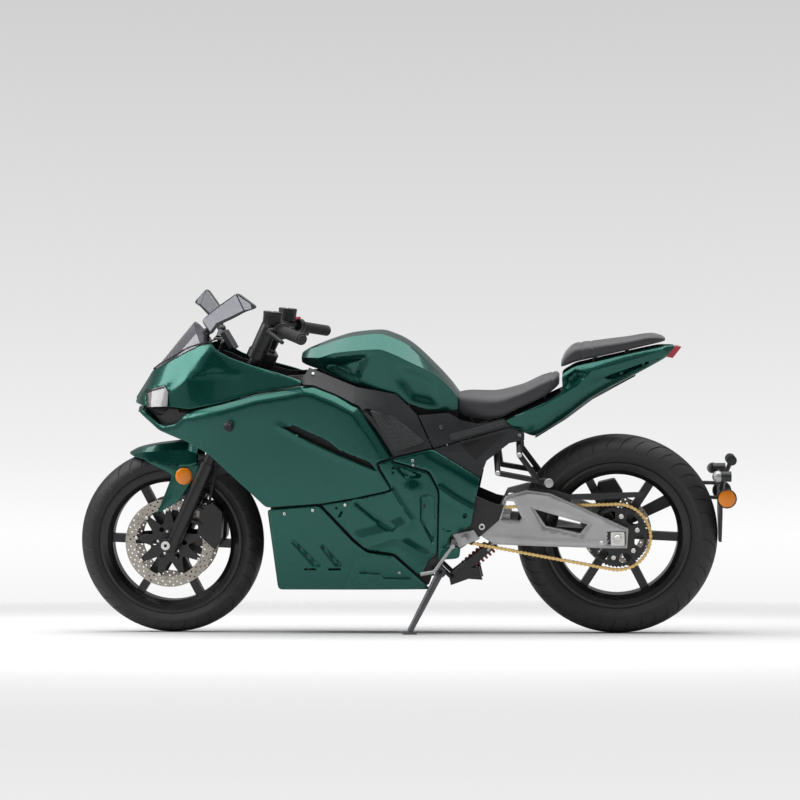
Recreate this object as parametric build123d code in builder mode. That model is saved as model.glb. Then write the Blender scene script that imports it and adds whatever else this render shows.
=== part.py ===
"""Electric sport motorcycle, full fairing, standing on its side stand.

Everything is drawn upright and then leaned onto the stand: +X runs to the tail, the machine's
left side is -Y, +Z is up and the ground is Z = 0, with X = 0 half way between the axles.
Sizes are in millimetres.
"""

import os
from math import cos, hypot, radians, sin

from build123d import *

# --- Driving dimensions -------------------------------------------------------------------

WHEELBASE = 1410
LEAN = 8.0                      # degrees, onto the side stand at the left
FRONT_X = -WHEELBASE / 2
REAR_X = WHEELBASE / 2

FRONT_TYRE_R, FRONT_TYRE_W = 293, 110      # 110/70-17
REAR_TYRE_R, REAR_TYRE_W = 314, 140        # 140/70-17
CROWN_DEPTH = 0.74                         # of the tyre's half width, down to its shoulder
BEAD_R = 216                               # a 17 inch rim's bead seat
RIM_EDGE_R = 227
RIM_INNER_R = 190
FRONT_RIM_W, REAR_RIM_W = 84, 104
SPOKES = 6
SPOKE_W, SPOKE_T = 26, 30
HUB_R, HUB_HALF = 34, 54

RAKE = 25.0                                # steering axis, degrees from upright
TRAIL = 95                                 # steering axis at the ground, ahead of the axle
STEER_FOOT_X = FRONT_X - TRAIL
FORK_SPREAD = 98                           # fork leg centre to the middle plane
FORK_OFFSET = 23                           # fork legs ahead of the steering axis
SLIDER_R, STANCHION_R = 23, 19
BOSS_HALF = 25                             # axle boss at the foot of each leg
FORK_TOP = 703                             # along the leg, from level with the axle
SLIDER_LENGTH = 300
AXLE_R = 8.5

SKIN = 4                                   # body panel wall
SEAM = 3                                   # gap between neighbouring panels
FIT = 0.3                                  # seating clearance
PANEL_INSET = 10                           # recessed panels behind the outer ones

FRONT_DISC_R, REAR_DISC_R, DISC_T = 140, 110, 5
DISC_Y = 62
DISC_GAP = 5                               # caliper slot beside the disc

CHAIN_Y, CHAIN_W, CHAIN_H = 85, 17, 11
REAR_CHAIN_R, MOTOR_CHAIN_R = 108, 52      # outside of the chain round each sprocket
MOTOR_X, MOTOR_Z = 175, 357
MOTOR_R, MOTOR_HALF = 92, 72
CHAIN_RUN_GAP = 2.5                        # sprocket to chain

ARM_OUT, ARM_T = 124, 26                   # swingarm side: outer face and thickness
PIVOT_X, PIVOT_Z, PIVOT_R = 287, 352, 12
PLATE_OUT, PLATE_T = 134, 8                # frame pivot plates

BATTERY = (340, 196, 350)
BATTERY_X, BATTERY_Z = -130, 238           # centre in x, underside

STAND_PIVOT = (158, -150, 213)
STAND_FOOT = (66, -215)
STAND_R = 11

# --- Shapes shared by several pieces ------------------------------------------------------

AXLE_F = (FRONT_X, FRONT_TYRE_R)
AXLE_B = (REAR_X, REAR_TYRE_R)

# Half sections of the fairing from its belly to its top, (y, z) pairs at each x.
BODY = {
    -815: ((6, 640), (10, 670), (14, 690), (18, 706), (24, 722), (20, 735), (8, 742)),
    -784: ((20, 600), (40, 640), (56, 670), (70, 692), (80, 724), (64, 760), (12, 790)),
    -745: ((40, 500), (60, 560), (80, 620), (98, 680), (118, 727), (98, 782), (40, 846)),
    -690: ((60, 300), (90, 420), (112, 540), (134, 655), (150, 730), (128, 806), (84, 874)),
    -600: ((100, 163), (128, 300), (150, 450), (172, 610), (186, 726), (158, 820), (118, 936)),
    -500: ((130, 163), (160, 300), (178, 450), (194, 610), (207, 746), (178, 838), (142, 936)),
    -380: ((150, 163), (168, 300), (186, 450), (201, 620), (214, 777), (186, 848), (160, 900)),
    -250: ((152, 163), (172, 300), (190, 450), (204, 640), (213, 797), (184, 832), (154, 880)),
    -100: ((152, 163), (172, 300), (190, 450), (203, 600), (205, 730), (176, 775), (148, 830)),
    30: ((148, 163), (170, 300), (183, 450), (187, 530), (184, 590), (164, 690), (140, 790)),
    150: ((140, 163), (164, 300), (173, 430), (173, 520), (169, 590), (152, 680), (134, 760)),
    300: ((130, 163), (150, 300), (158, 420), (158, 510), (155, 580), (146, 670), (126, 760)),
    420: ((120, 163), (140, 300), (148, 420), (150, 510), (148, 600), (138, 690), (120, 780)),
}

# Half sections of the tail, underside to top, (y, z) pairs at each x.
TAIL = {
    340: ((60, 600), (118, 640), (128, 668), (124, 720), (96, 760)),
    450: ((56, 610), (108, 650), (124, 690), (124, 748), (100, 790)),
    540: ((50, 664), (96, 700), (116, 742), (118, 800), (98, 842)),
    630: ((44, 730), (84, 756), (106, 790), (108, 838), (92, 868)),
    760: ((36, 800), (66, 822), (84, 846), (86, 876), (76, 898)),
    860: ((24, 850), (44, 866), (56, 880), (58, 896), (52, 908)),
    910: ((10, 888), (20, 893), (27, 898), (28, 904), (24, 910)),
}

NOSE_OUTLINE = (
    (-816, 737), (-784, 789), (-751, 838), (-654, 888), (-583, 922), (-545, 926), (-536, 910),
    (-493, 884), (-428, 862), (-333, 835), (-263, 812), (-263, 800), (-305, 791), (-408, 774),
    (-511, 745), (-612, 724), (-640, 726), (-684, 731), (-759, 728),
)
HEADLIGHT_OUTLINE = ((-771, 776), (-702, 795), (-686, 775), (-688, 732), (-760, 727))
SIDE_OUTLINE = (
    (-798, 713), (-725, 655), (-617, 619), (-553, 583), (-526, 557), (-423, 462), (-378, 418),
    (-204, 431), (-109, 447), (11, 473), (-28, 539), (-34, 560), (17, 573), (-28, 647),
    (-88, 729), (-154, 765), (-225, 794), (-260, 797), (-305, 788), (-408, 771), (-511, 742),
    (-612, 721), (-630, 706), (-663, 678), (-712, 667), (-782, 718),
)
VENT_OUTLINE = ((-321, 669), (-283, 674), (-181, 627), (-145, 597), (-54, 561), (-34, 535),
                (-60, 546), (-150, 585), (-240, 628))
LOWER_OUTLINE = ((-376, 412), (-350, 158), (128, 158), (84, 200), (13, 267), (-67, 277),
                 (-114, 315), (-213, 426))
INNER_OUTLINE = (
    (-209, 427), (-109, 443), (15, 470), (-22, 539), (-28, 557), (16, 567), (12, 559), (125, 526),
    (155, 469), (149, 270), (126, 254), (102, 206), (88, 203), (16, 271), (-64, 281), (-110, 319),
)
REAR_SIDE_OUTLINE = (
    (20, 571), (138, 597), (284, 505), (281, 493), (269, 440), (256, 360), (223, 341), (189, 327),
    (189, 294), (222, 291), (217, 256), (152, 251), (152, 264), (159, 469), (129, 530), (16, 563),
)
FRAME_COVER_OUTLINE = (
    (-258, 801), (-258, 818), (-241, 850), (-92, 788), (24, 765), (88, 704), (136, 600), (20, 576),
    (-24, 649), (-85, 732), (-152, 768), (-223, 798),
)
SEAT_COVER_OUTLINE = ((94, 700), (188, 706), (226, 683), (286, 670), (356, 688), (374, 664),
                      (198, 615), (141, 600))
SIDE_COVER_OUTLINE = ((142, 596), (198, 611), (374, 658), (440, 634), (451, 628), (374, 612),
                      (302, 557), (284, 508))
TAIL_OUTLINE = (
    (362, 683), (495, 741), (539, 768), (536, 822), (578, 848), (835, 905), (890, 906), (858, 868),
    (764, 817), (627, 746), (539, 680), (450, 627), (378, 661),
)
UNDERTRAY_OUTLINE = ((765, 811), (765, 790), (693, 758), (594, 706), (494, 645), (462, 616),
                     (452, 622), (539, 677), (627, 743))


def half_width(sections, x, z):
    """Half width of a sectioned shell at one place in side view."""
    stations = sorted(sections)
    before = max(s for s in stations[:-1] if s <= max(x, stations[0]))
    after = stations[stations.index(before) + 1]
    share = (x - before) / (after - before)
    line = [
        (a[0] + (b[0] - a[0]) * share, a[1] + (b[1] - a[1]) * share)
        for a, b in zip(sections[before], sections[after])
    ]
    for (y0, z0), (y1, z1) in zip(line, line[1:]):
        if z0 <= z <= z1:
            return y0 + (y1 - y0) * (z - z0) / (z1 - z0)
    return line[0][0] if z < line[0][1] else line[-1][0]


def side_face(points, y=0):
    """A face drawn in side view, from (x, z) points, at a distance out to the left."""
    with BuildSketch(Plane.XZ.offset(y)) as drawn:
        with BuildLine():
            Polyline(*points, close=True)
        make_face()
    return drawn.sketch


def rounded_side_face(points, radius, y=0):
    """A side view face with its corners rounded."""
    with BuildSketch(Plane.XZ.offset(y)) as drawn:
        with BuildLine():
            Polyline(*points, close=True)
        make_face()
        fillet(drawn.vertices(), radius)
    return drawn.sketch


def cross_faces(sections, inset=0):
    """The closed cross sections of a symmetric shell, each moved inwards by an inset."""
    faces = []
    for x, half in sections.items():
        low, high = half[0][1] + inset, half[-1][1] - inset
        side = [(max(y - inset, 2), min(max(z, low), high)) for y, z in half]
        for rung in range(1, len(side)):
            if side[rung][1] <= side[rung - 1][1]:
                side[rung] = (side[rung][0], side[rung - 1][1] + 0.5)
        with BuildSketch(Plane.YZ.offset(x)) as drawn:
            with BuildLine():
                Polyline(*side, *[(-y, z) for y, z in reversed(side)], close=True)
            make_face()
        faces.append(drawn.sketch)
    return faces


def bar(start, end, radius, end_radius=None):
    """A round bar from point to point, tapered when two radii are given."""
    axis = Vector(*end) - Vector(*start)
    base = Plane(origin=start, z_dir=axis)
    top = Plane(origin=end, x_dir=base.x_dir, z_dir=axis)
    with BuildPart() as round_bar:
        with BuildSketch(base):
            Circle(radius)
        if end_radius is None:
            extrude(amount=axis.length)
        else:
            with BuildSketch(top):
                Circle(end_radius)
            loft()
    return round_bar.part


def tube_along(points, radius, bend):
    """A round rod swept along straight runs joined by arcs."""
    with BuildPart() as rod:
        with BuildLine() as route:
            FilletPolyline(*points, radius=bend)
        with BuildSketch(Plane(origin=route.wire() @ 0, z_dir=route.wire() % 0)):
            Circle(radius)
        sweep()
    return rod.part


def plate(points, inner, outer):
    """A flat plate seen from the side, from one distance out to another, on the left."""
    with BuildPart() as flat:
        extrude(side_face(points, inner), amount=outer - inner)
    return flat.part


def steer_point(along, forward=0, y=0):
    """A point beside the steering axis, measured up it and forward of it."""
    rake = radians(RAKE)
    x = STEER_FOOT_X + along * sin(rake) - forward * cos(rake)
    z = along * cos(rake) + forward * sin(rake)
    return (x, y, z)


STEER_DIR = (sin(radians(RAKE)), 0, cos(radians(RAKE)))
AXLE_ALONG = (FRONT_X - STEER_FOOT_X) * STEER_DIR[0] + FRONT_TYRE_R * STEER_DIR[2]
LOWER_YOKE = AXLE_ALONG + 500              # along the steering axis
UPPER_YOKE = AXLE_ALONG + 665
FORK_END = AXLE_ALONG + FORK_TOP

# --- Seats of the pieces that the frame carries -------------------------------------------

DASH_AT, DASH_TILT = Vector(-519, 0, 928), 30.0
DASH_DIR = Vector(cos(radians(DASH_TILT)), 0, sin(radians(DASH_TILT)))


def dash_stub(back):
    """A point ahead of the middle of the dash's front face."""
    return DASH_AT - DASH_DIR * back


def leg_seat(point, side):
    """The end of a lug that runs from a point to the side of a fork slider."""
    start = Vector(*point)
    foot = Vector(*steer_point(0, FORK_OFFSET, side * FORK_SPREAD))
    along = Vector(*STEER_DIR)
    nearest = foot + along * (start - foot).dot(along)
    return tuple(nearest + (start - nearest).normalized() * (SLIDER_R + FIT))


# --- Wheels -------------------------------------------------------------------------------


def wheel_rim(axle, width, bore):
    """A cast wheel: barrel, six spokes and hub, round a through bore."""
    centre = Plane(origin=(axle[0], 0, axle[1]), x_dir=(1, 0, 0), z_dir=(0, -1, 0))
    half = width / 2
    with BuildPart() as wheel:
        with BuildSketch(Plane(origin=(axle[0], 0, axle[1]), x_dir=(0, 1, 0), z_dir=(-1, 0, 0))):
            with BuildLine():
                Polyline(
                    (-half, RIM_EDGE_R), (-half, RIM_EDGE_R - 8), (-half + 8, RIM_INNER_R + 14),
                    (-half + 22, RIM_INNER_R), (half - 22, RIM_INNER_R),
                    (half - 8, RIM_INNER_R + 14), (half, RIM_EDGE_R - 8), (half, RIM_EDGE_R),
                    (half - 6, RIM_EDGE_R), (half - 10, BEAD_R - 1), (half - 26, BEAD_R - 4),
                    (half - 34, RIM_INNER_R + 9), (-half + 34, RIM_INNER_R + 9),
                    (-half + 26, BEAD_R - 4), (-half + 10, BEAD_R - 1), (-half + 6, RIM_EDGE_R),
                    close=True,
                )
            make_face()
        revolve(axis=Axis((axle[0], 0, axle[1]), (0, 1, 0)))
        with BuildSketch(centre.offset(-SPOKE_T / 2)):
            with PolarLocations(RIM_INNER_R / 2 + 12, SPOKES, start_angle=57):
                Rectangle(RIM_INNER_R - 16, SPOKE_W)
        extrude(amount=SPOKE_T)
        with BuildSketch(centre.offset(-HUB_HALF)):
            Circle(HUB_R)
        extrude(amount=2 * HUB_HALF)
        with BuildSketch(centre.offset(-HUB_HALF)):
            Circle(bore)
        extrude(amount=2 * HUB_HALF, mode=Mode.SUBTRACT)
    return wheel.part


def tyre(axle, radius, width):
    """A road tyre with a round crown, seated on the rim's beads."""
    rim_half = (FRONT_RIM_W if width == FRONT_TYRE_W else REAR_RIM_W) / 2
    seat = rim_half - 6 - FIT
    foot = BEAD_R + FIT
    shoulder = radius - CROWN_DEPTH * width / 2
    flank = ((width / 2 + seat) / 2 + 4, (shoulder + RIM_EDGE_R - 2) / 2)
    with BuildPart() as carcass:
        with BuildSketch(Plane(origin=(axle[0], 0, axle[1]), x_dir=(0, 1, 0), z_dir=(-1, 0, 0))):
            with BuildLine():
                ThreePointArc((-width / 2, shoulder), (0, radius), (width / 2, shoulder))
                ThreePointArc((width / 2, shoulder), flank, (seat, RIM_EDGE_R - 2))
                Line((seat, RIM_EDGE_R - 2), (seat - 5, foot))
                Line((seat - 5, foot), (seat - 16, foot))
                Line((seat - 16, foot), (seat - 13, RIM_EDGE_R))
                ThreePointArc(
                    (seat - 13, RIM_EDGE_R), (0, radius - 14), (-(seat - 13), RIM_EDGE_R)
                )
                Line((-(seat - 13), RIM_EDGE_R), (-(seat - 16), foot))
                Line((-(seat - 16), foot), (-(seat - 5), foot))
                Line((-(seat - 5), foot), (-seat, RIM_EDGE_R - 2))
                ThreePointArc(
                    (-seat, RIM_EDGE_R - 2), (-flank[0], flank[1]), (-width / 2, shoulder)
                )
            make_face()
        revolve(axis=Axis((axle[0], 0, axle[1]), (0, 1, 0)))
    return carcass.part


def ring(axle, outer, inner, y_from, y_to):
    """A flat ring round a wheel's axle, between two distances to the left."""
    with BuildPart() as flat:
        with BuildSketch(Plane(origin=(axle[0], -y_from, axle[1]), x_dir=(1, 0, 0),
                               z_dir=(0, -1, 0))):
            Circle(outer)
            Circle(inner, mode=Mode.SUBTRACT)
        extrude(amount=y_to - y_from)
    return flat.part


def brake_disc(axle, radius, y):
    """A disc on its dished carrier, bolted to the hub's end."""
    half = DISC_T / 2
    hub_end = HUB_HALF + FIT if y > 0 else -HUB_HALF - FIT
    with BuildPart() as disc:
        add(ring(axle, radius, radius - 36, y - half, y + half))
        add(ring(axle, radius - 34, AXLE_R + 16, y - half + 0.5, y + half - 0.5))
        add(ring(axle, HUB_R - 2, AXLE_R + 16, min(hub_end, y), max(hub_end, y)))
    return disc.part


with BuildPart() as front_rim:
    add(wheel_rim(AXLE_F, FRONT_RIM_W, AXLE_R + FIT))
front_rim.part.label = "front_rim"

with BuildPart() as front_tyre:
    add(tyre(AXLE_F, FRONT_TYRE_R, FRONT_TYRE_W))
front_tyre.part.label = "front_tyre"

with BuildPart() as front_brake_discs:
    add(brake_disc(AXLE_F, FRONT_DISC_R, DISC_Y))
    add(brake_disc(AXLE_F, FRONT_DISC_R, -DISC_Y))
front_brake_discs.part.label = "front_brake_discs"

with BuildPart() as rear_rim:
    add(wheel_rim(AXLE_B, REAR_RIM_W, AXLE_R + FIT))
rear_rim.part.label = "rear_rim"

with BuildPart() as rear_tyre:
    add(tyre(AXLE_B, REAR_TYRE_R, REAR_TYRE_W))
rear_tyre.part.label = "rear_tyre"

with BuildPart() as rear_brake_disc:
    add(brake_disc(AXLE_B, REAR_DISC_R, -DISC_Y))
rear_brake_disc.part.label = "rear_brake_disc"

SPROCKET_R = REAR_CHAIN_R - CHAIN_H - CHAIN_RUN_GAP
with BuildPart() as rear_sprocket:
    add(ring(AXLE_B, SPROCKET_R, 46, CHAIN_Y - 3, CHAIN_Y + 3))
    add(ring(AXLE_B, 60, AXLE_R + 14, CHAIN_Y - 6, CHAIN_Y + 2))
    add(ring(AXLE_B, HUB_R - 2, AXLE_R + 14, HUB_HALF + FIT, CHAIN_Y - 5))
rear_sprocket.part.label = "rear_sprocket"

# --- Steering -----------------------------------------------------------------------------

LEG_BOTTOM = AXLE_ALONG - 12
CLAMP_T = 26


def leg_axis(along, y):
    """A point on a fork leg's centre line."""
    return steer_point(along, FORK_OFFSET, y)


with BuildPart() as fork_legs:
    for y in (-FORK_SPREAD, FORK_SPREAD):
        add(bar(leg_axis(LEG_BOTTOM, y), leg_axis(LEG_BOTTOM + SLIDER_LENGTH, y), SLIDER_R))
        add(bar(leg_axis(LEG_BOTTOM + SLIDER_LENGTH, y), leg_axis(FORK_END, y), STANCHION_R))
        with BuildSketch(Plane.XZ.offset(-y - BOSS_HALF)):
            with Locations(AXLE_F):
                Circle(21)
        extrude(amount=2 * BOSS_HALF)
        with BuildSketch(Plane.XZ.offset(-y - BOSS_HALF)):
            with Locations(AXLE_F):
                Circle(AXLE_R + FIT)
        extrude(amount=2 * BOSS_HALF, mode=Mode.SUBTRACT)
fork_legs.part.label = "fork_legs"

AXLE_HALF = FORK_SPREAD + BOSS_HALF + 8
AXLE_BORE_R = 5
with BuildPart() as front_axle:
    add(ring(AXLE_F, AXLE_R, AXLE_BORE_R, -AXLE_HALF, AXLE_HALF))
    for side in (-1, 1):
        nut = sorted((side * AXLE_HALF, side * (FORK_SPREAD + BOSS_HALF + FIT)))
        add(ring(AXLE_F, 14, AXLE_BORE_R, *nut))
        collar = sorted((side * (FORK_SPREAD - BOSS_HALF - FIT), side * (HUB_HALF + FIT)))
        add(ring(AXLE_F, AXLE_R + 6, AXLE_R - 1, *collar))
front_axle.part.label = "front_axle"

HEAD_BORE, STEM_R = 16.3, 16
with BuildPart() as fork_yokes:
    for along in (LOWER_YOKE, UPPER_YOKE):
        foot = Plane(origin=steer_point(along - CLAMP_T / 2), x_dir=(0, 1, 0), z_dir=STEER_DIR)
        with BuildSketch(foot) as yoke:
            Circle(30)
            with Locations((FORK_SPREAD, FORK_OFFSET), (-FORK_SPREAD, FORK_OFFSET)):
                Circle(SLIDER_R + 8)
            make_hull()
            with Locations((FORK_SPREAD, FORK_OFFSET), (-FORK_SPREAD, FORK_OFFSET)):
                Circle(STANCHION_R + FIT, mode=Mode.SUBTRACT)
        extrude(amount=CLAMP_T)
    add(bar(steer_point(LOWER_YOKE), steer_point(UPPER_YOKE + CLAMP_T / 2 + 8), STEM_R))
fork_yokes.part.label = "fork_yokes"

RISER_R, RISER_H = 27, 62
BAR_R, GRIP_R = 11, 17
GRIP_IN, GRIP_OUT = (-312, 218, 964), (-240, 340, 945)
grip_run = Vector(*GRIP_OUT) - Vector(*GRIP_IN)
bar_start = Vector(*GRIP_IN) - grip_run.normalized() * 108


with BuildPart() as handlebars:
    for side in (-1, 1):
        y = side * FORK_SPREAD
        add(bar(leg_axis(UPPER_YOKE + CLAMP_T / 2 + FIT, y), leg_axis(FORK_END + RISER_H, y),
                RISER_R))
        add(bar(leg_axis(UPPER_YOKE, y), leg_axis(FORK_END + FIT, y), STANCHION_R + FIT),
            mode=Mode.SUBTRACT)
        add(bar((bar_start.X, side * bar_start.Y, bar_start.Z),
                (GRIP_OUT[0], side * GRIP_OUT[1], GRIP_OUT[2]), BAR_R))
handlebars.part.label = "handlebars"

with BuildPart() as grips:
    for side in (-1, 1):
        inner = (GRIP_IN[0], side * GRIP_IN[1], GRIP_IN[2])
        outer = Vector(*GRIP_OUT) + grip_run.normalized() * 5
        add(bar(inner, (outer.X, side * outer.Y, outer.Z), GRIP_R))
        add(bar(inner, (GRIP_OUT[0], side * GRIP_OUT[1], GRIP_OUT[2]), BAR_R + FIT),
            mode=Mode.SUBTRACT)
grips.part.label = "grips"

LEVER_REACH = 62
RESERVOIR = (-352, 178, 1002)
RESERVOIR_R, RESERVOIR_H = 29, 34
with BuildPart() as hand_controls:
    for side in (-1, 1):
        head = Vector(*GRIP_IN) - grip_run.normalized() * 26
        tail_end = Vector(*GRIP_IN) - grip_run.normalized() * 2
        add(bar((head.X, side * head.Y, head.Z), (tail_end.X, side * tail_end.Y, tail_end.Z),
                24))
        lever_root = (head.X - 34, side * (head.Y + 4), head.Z - 4)
        lever_tip = (GRIP_OUT[0] - LEVER_REACH, side * (GRIP_OUT[1] - 22), GRIP_OUT[2] - 10)
        add(bar((head.X, side * head.Y, head.Z), lever_root, 14))
        add(bar(lever_root, lever_tip, 9, 6))
        cup = (RESERVOIR[0], side * RESERVOIR[1], RESERVOIR[2] - RESERVOIR_H / 2)
        add(bar((head.X - 20, side * (head.Y - 6), head.Z), cup, 13))
        add(bar(cup, (cup[0] + 4, cup[1], cup[2] + RESERVOIR_H), RESERVOIR_R))
        add(bar((bar_start.X, side * bar_start.Y, bar_start.Z),
                (GRIP_OUT[0], side * GRIP_OUT[1], GRIP_OUT[2]), BAR_R + FIT),
            mode=Mode.SUBTRACT)
        add(bar(leg_axis(UPPER_YOKE, side * FORK_SPREAD),
                leg_axis(FORK_END + RISER_H + 60, side * FORK_SPREAD), RISER_R + FIT),
            mode=Mode.SUBTRACT)
hand_controls.part.label = "hand_controls"

FENDER = {
    -836: ((10, 571), (12, 573), (6, 577)),
    -785: ((64, 560), (60, 581), (29, 595)),
    -719: ((73, 542), (66, 585), (37, 606)),
    -650: ((74.7, 530), (68, 588), (39, 612)),
    -608: ((74.7, 545), (68, 575), (37, 598)),
}
FENDER_SIDE = ((-785, 560), (-700, 548), (-574, 544), (-588, 506), (-622, 500), (-650, 458),
               (-664, 430), (-720, 398), (-744, 380), (-690, 510))
REFLECTOR, REFLECTOR_R, REFLECTOR_T = (-652, 506), 27, 6
BLADE_OUT = FORK_SPREAD - SLIDER_R - FIT
BLADE_IN = BLADE_OUT - SKIN
with BuildPart() as front_fender:
    loft(cross_faces(FENDER), ruled=True)
    loft(cross_faces({x: tuple((y, z - 40 if n == 0 else z) for n, (y, z) in enumerate(half))
                      for x, half in FENDER.items()}, SKIN), ruled=True, mode=Mode.SUBTRACT)
    for side in (-1, 1):
        add(plate(FENDER_SIDE, side * BLADE_IN, side * BLADE_OUT))
front_fender.part.label = "front_fender"

with BuildPart() as fender_reflectors:
    for y in (BLADE_OUT + FIT, -BLADE_OUT - FIT - REFLECTOR_T):
        with BuildSketch(Plane.XZ.offset(y)):
            with Locations(REFLECTOR):
                Circle(REFLECTOR_R)
        extrude(amount=REFLECTOR_T)
fender_reflectors.part.label = "fender_reflectors"

CALIPER_F = ((-611, 327), (-600, 411), (-558, 420), (-531, 392), (-538, 300), (-556, 272))


def caliper(outline, axle, radius, y):
    """A brake caliper: a block split by the slot that its disc runs in."""
    with BuildPart() as body:
        extrude(rounded_side_face(outline, 8, y - 22), amount=46)
        slot = DISC_T / 2 + DISC_GAP
        with BuildSketch(Plane.XZ.offset(y - slot)):
            with Locations(axle):
                Circle(radius + DISC_GAP)
        extrude(amount=2 * slot, mode=Mode.SUBTRACT)
    return body.part


with BuildPart() as front_calipers:
    for side in (1, -1):
        add(caliper(CALIPER_F, AXLE_F, FRONT_DISC_R, side * DISC_Y))
        for x, z in ((-592, 352), (-588, 398)):
            add(bar((x, side * 78, z), leg_seat((x, side * 78, z), side), 8))
front_calipers.part.label = "front_calipers"

HOSE_R = 4.5
hose_top = steer_point(LOWER_YOKE - CLAMP_T / 2 - 1.5, -6)
with BuildPart() as front_brake_hoses:
    for side in (-1, 1):
        route = ((hose_top[0], side * 72, hose_top[2]), (-496, side * 68, 636),
                 (-556, side * 66, 510), (-575, side * 66, 418.5))
        add(tube_along(route, HOSE_R, 40))
front_brake_hoses.part.label = "front_brake_hoses"

STEERED = [front_brake_hoses, front_rim, front_tyre, front_brake_discs, fork_legs, front_axle,
           fork_yokes, handlebars, grips, hand_controls, front_fender, fender_reflectors,
           front_calipers]

# --- Side stand hinge ---------------------------------------------------------------------

STAND_TILT = 12.0                          # hinge pin, degrees up from straight out
BOSS_R, BOSS_T, STAND_BOLT_R = 17, 27, 6
STAND_AXIS = Vector(0, -cos(radians(STAND_TILT)), sin(radians(STAND_TILT)))


def stand_point(inward):
    """A point on the stand's hinge line, measured from the boss centre towards the frame."""
    return tuple(Vector(*STAND_PIVOT) - STAND_AXIS * inward)


# --- Seats and tank cover -----------------------------------------------------------------

TANK = {
    -276: ((52, 866), (66, 880), (42, 890), (10, 893)),
    -220: ((92, 842), (114, 868), (70, 911), (12, 920)),
    -110: ((118, 800), (142, 894), (82, 942), (14, 954)),
    -30: ((122, 775), (146, 902), (84, 950), (14, 960)),
    60: ((116, 735), (138, 868), (78, 912), (14, 925)),
    140: ((102, 712), (118, 826), (66, 842), (12, 853)),
    216: ((84, 712), (92, 742), (52, 752), (8, 757)),
}

with BuildPart() as tank_cover:
    loft(cross_faces(TANK), ruled=True)
    extrude(side_face(((214, 800), (222, 764), (188, 708), (260, 660), (300, 800))),
            amount=200, both=True, mode=Mode.SUBTRACT)
tank_cover.part.label = "tank_cover"

RIDER_SEAT = {
    201: ((60, 706), (70, 734), (52, 754)),
    250: ((84, 684), (98, 722), (72, 766)),
    317: ((104, 680), (122, 722), (92, 765)),
    406: ((118, 716), (132, 752), (100, 783)),
    484: ((110, 753), (122, 788), (94, 816)),
    530: ((90, 786), (98, 806), (82, 826)),
}
PILLION_SEAT = {
    534: ((70, 836), (84, 850), (70, 864)),
    580: ((84, 857), (100, 885), (82, 912)),
    640: ((86, 869), (102, 895), (86, 920)),
    740: ((78, 891), (92, 912), (76, 933)),
    816: ((68, 908), (80, 925), (66, 943)),
    856: ((54, 917), (62, 923), (54, 930)),
}
with BuildPart() as rider_seat:
    loft(cross_faces(RIDER_SEAT))
    extrude(side_face(((226, 790), (226, 764), (190, 706), (150, 690), (150, 790))),
            amount=200, both=True, mode=Mode.SUBTRACT)
rider_seat.part.label = "rider_seat"

with BuildPart() as pillion_seat:
    loft(cross_faces(PILLION_SEAT))
pillion_seat.part.label = "pillion_seat"

# --- Frame, battery and motor -------------------------------------------------------------

SPAR_IN, SPAR_OUT = 102, 120
RAIL_Y, RAIL_Z, RAIL_R = 85, BATTERY_Z - 12 - FIT, 12
DOWN_TUBE_X = -335
SPAR = ((-350, 735), (-350, 800), (-240, 802), (-90, 738), (30, 692), (92, 612), (112, 562),
        (62, 556), (14, 606), (-110, 664), (-300, 712))
KNEE = ((62, 600), (118, 596), (170, 500), (218, 420), (214, 372), (176, 330), (150, 232),
        (104, 232), (100, 420), (58, 556))
PIVOT_PLATE = ((112, 560), (150, 520), (250, 456), (325, 424), (356, 418), (340, 372),
               (277, 318), (253, 294), (229, 326), (190, 300), (152, 232), (112, 300))
FRONT_GUSSET = ((-455, 768), (-430, 838), (-350, 800), (-310, 800), (-310, 738), (-350, 735))
MOUNT_R = 8
NOSE_STAY = (-562, 838)                    # cross bar that carries the nose cowl and the dash


def inside(sections, x, z):
    """How far out a stub at (x, z) goes to seat on the inside of a shell."""
    turns = [radians(45 * step) for step in range(8)]
    ring_of = [(x + MOUNT_R * cos(turn), z + MOUNT_R * sin(turn)) for turn in turns]
    return min(half_width(sections, a, b) for a, b in ring_of) - SKIN - FIT


def panel_mount(x, z, start, inset=0):
    """Stubs on both sides, from the frame out to the inside of a body panel."""
    reach = inside(BODY, x, z) - inset
    return [bar((x, side * start, z), (x, side * reach, z), MOUNT_R) for side in (-1, 1)]


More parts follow.
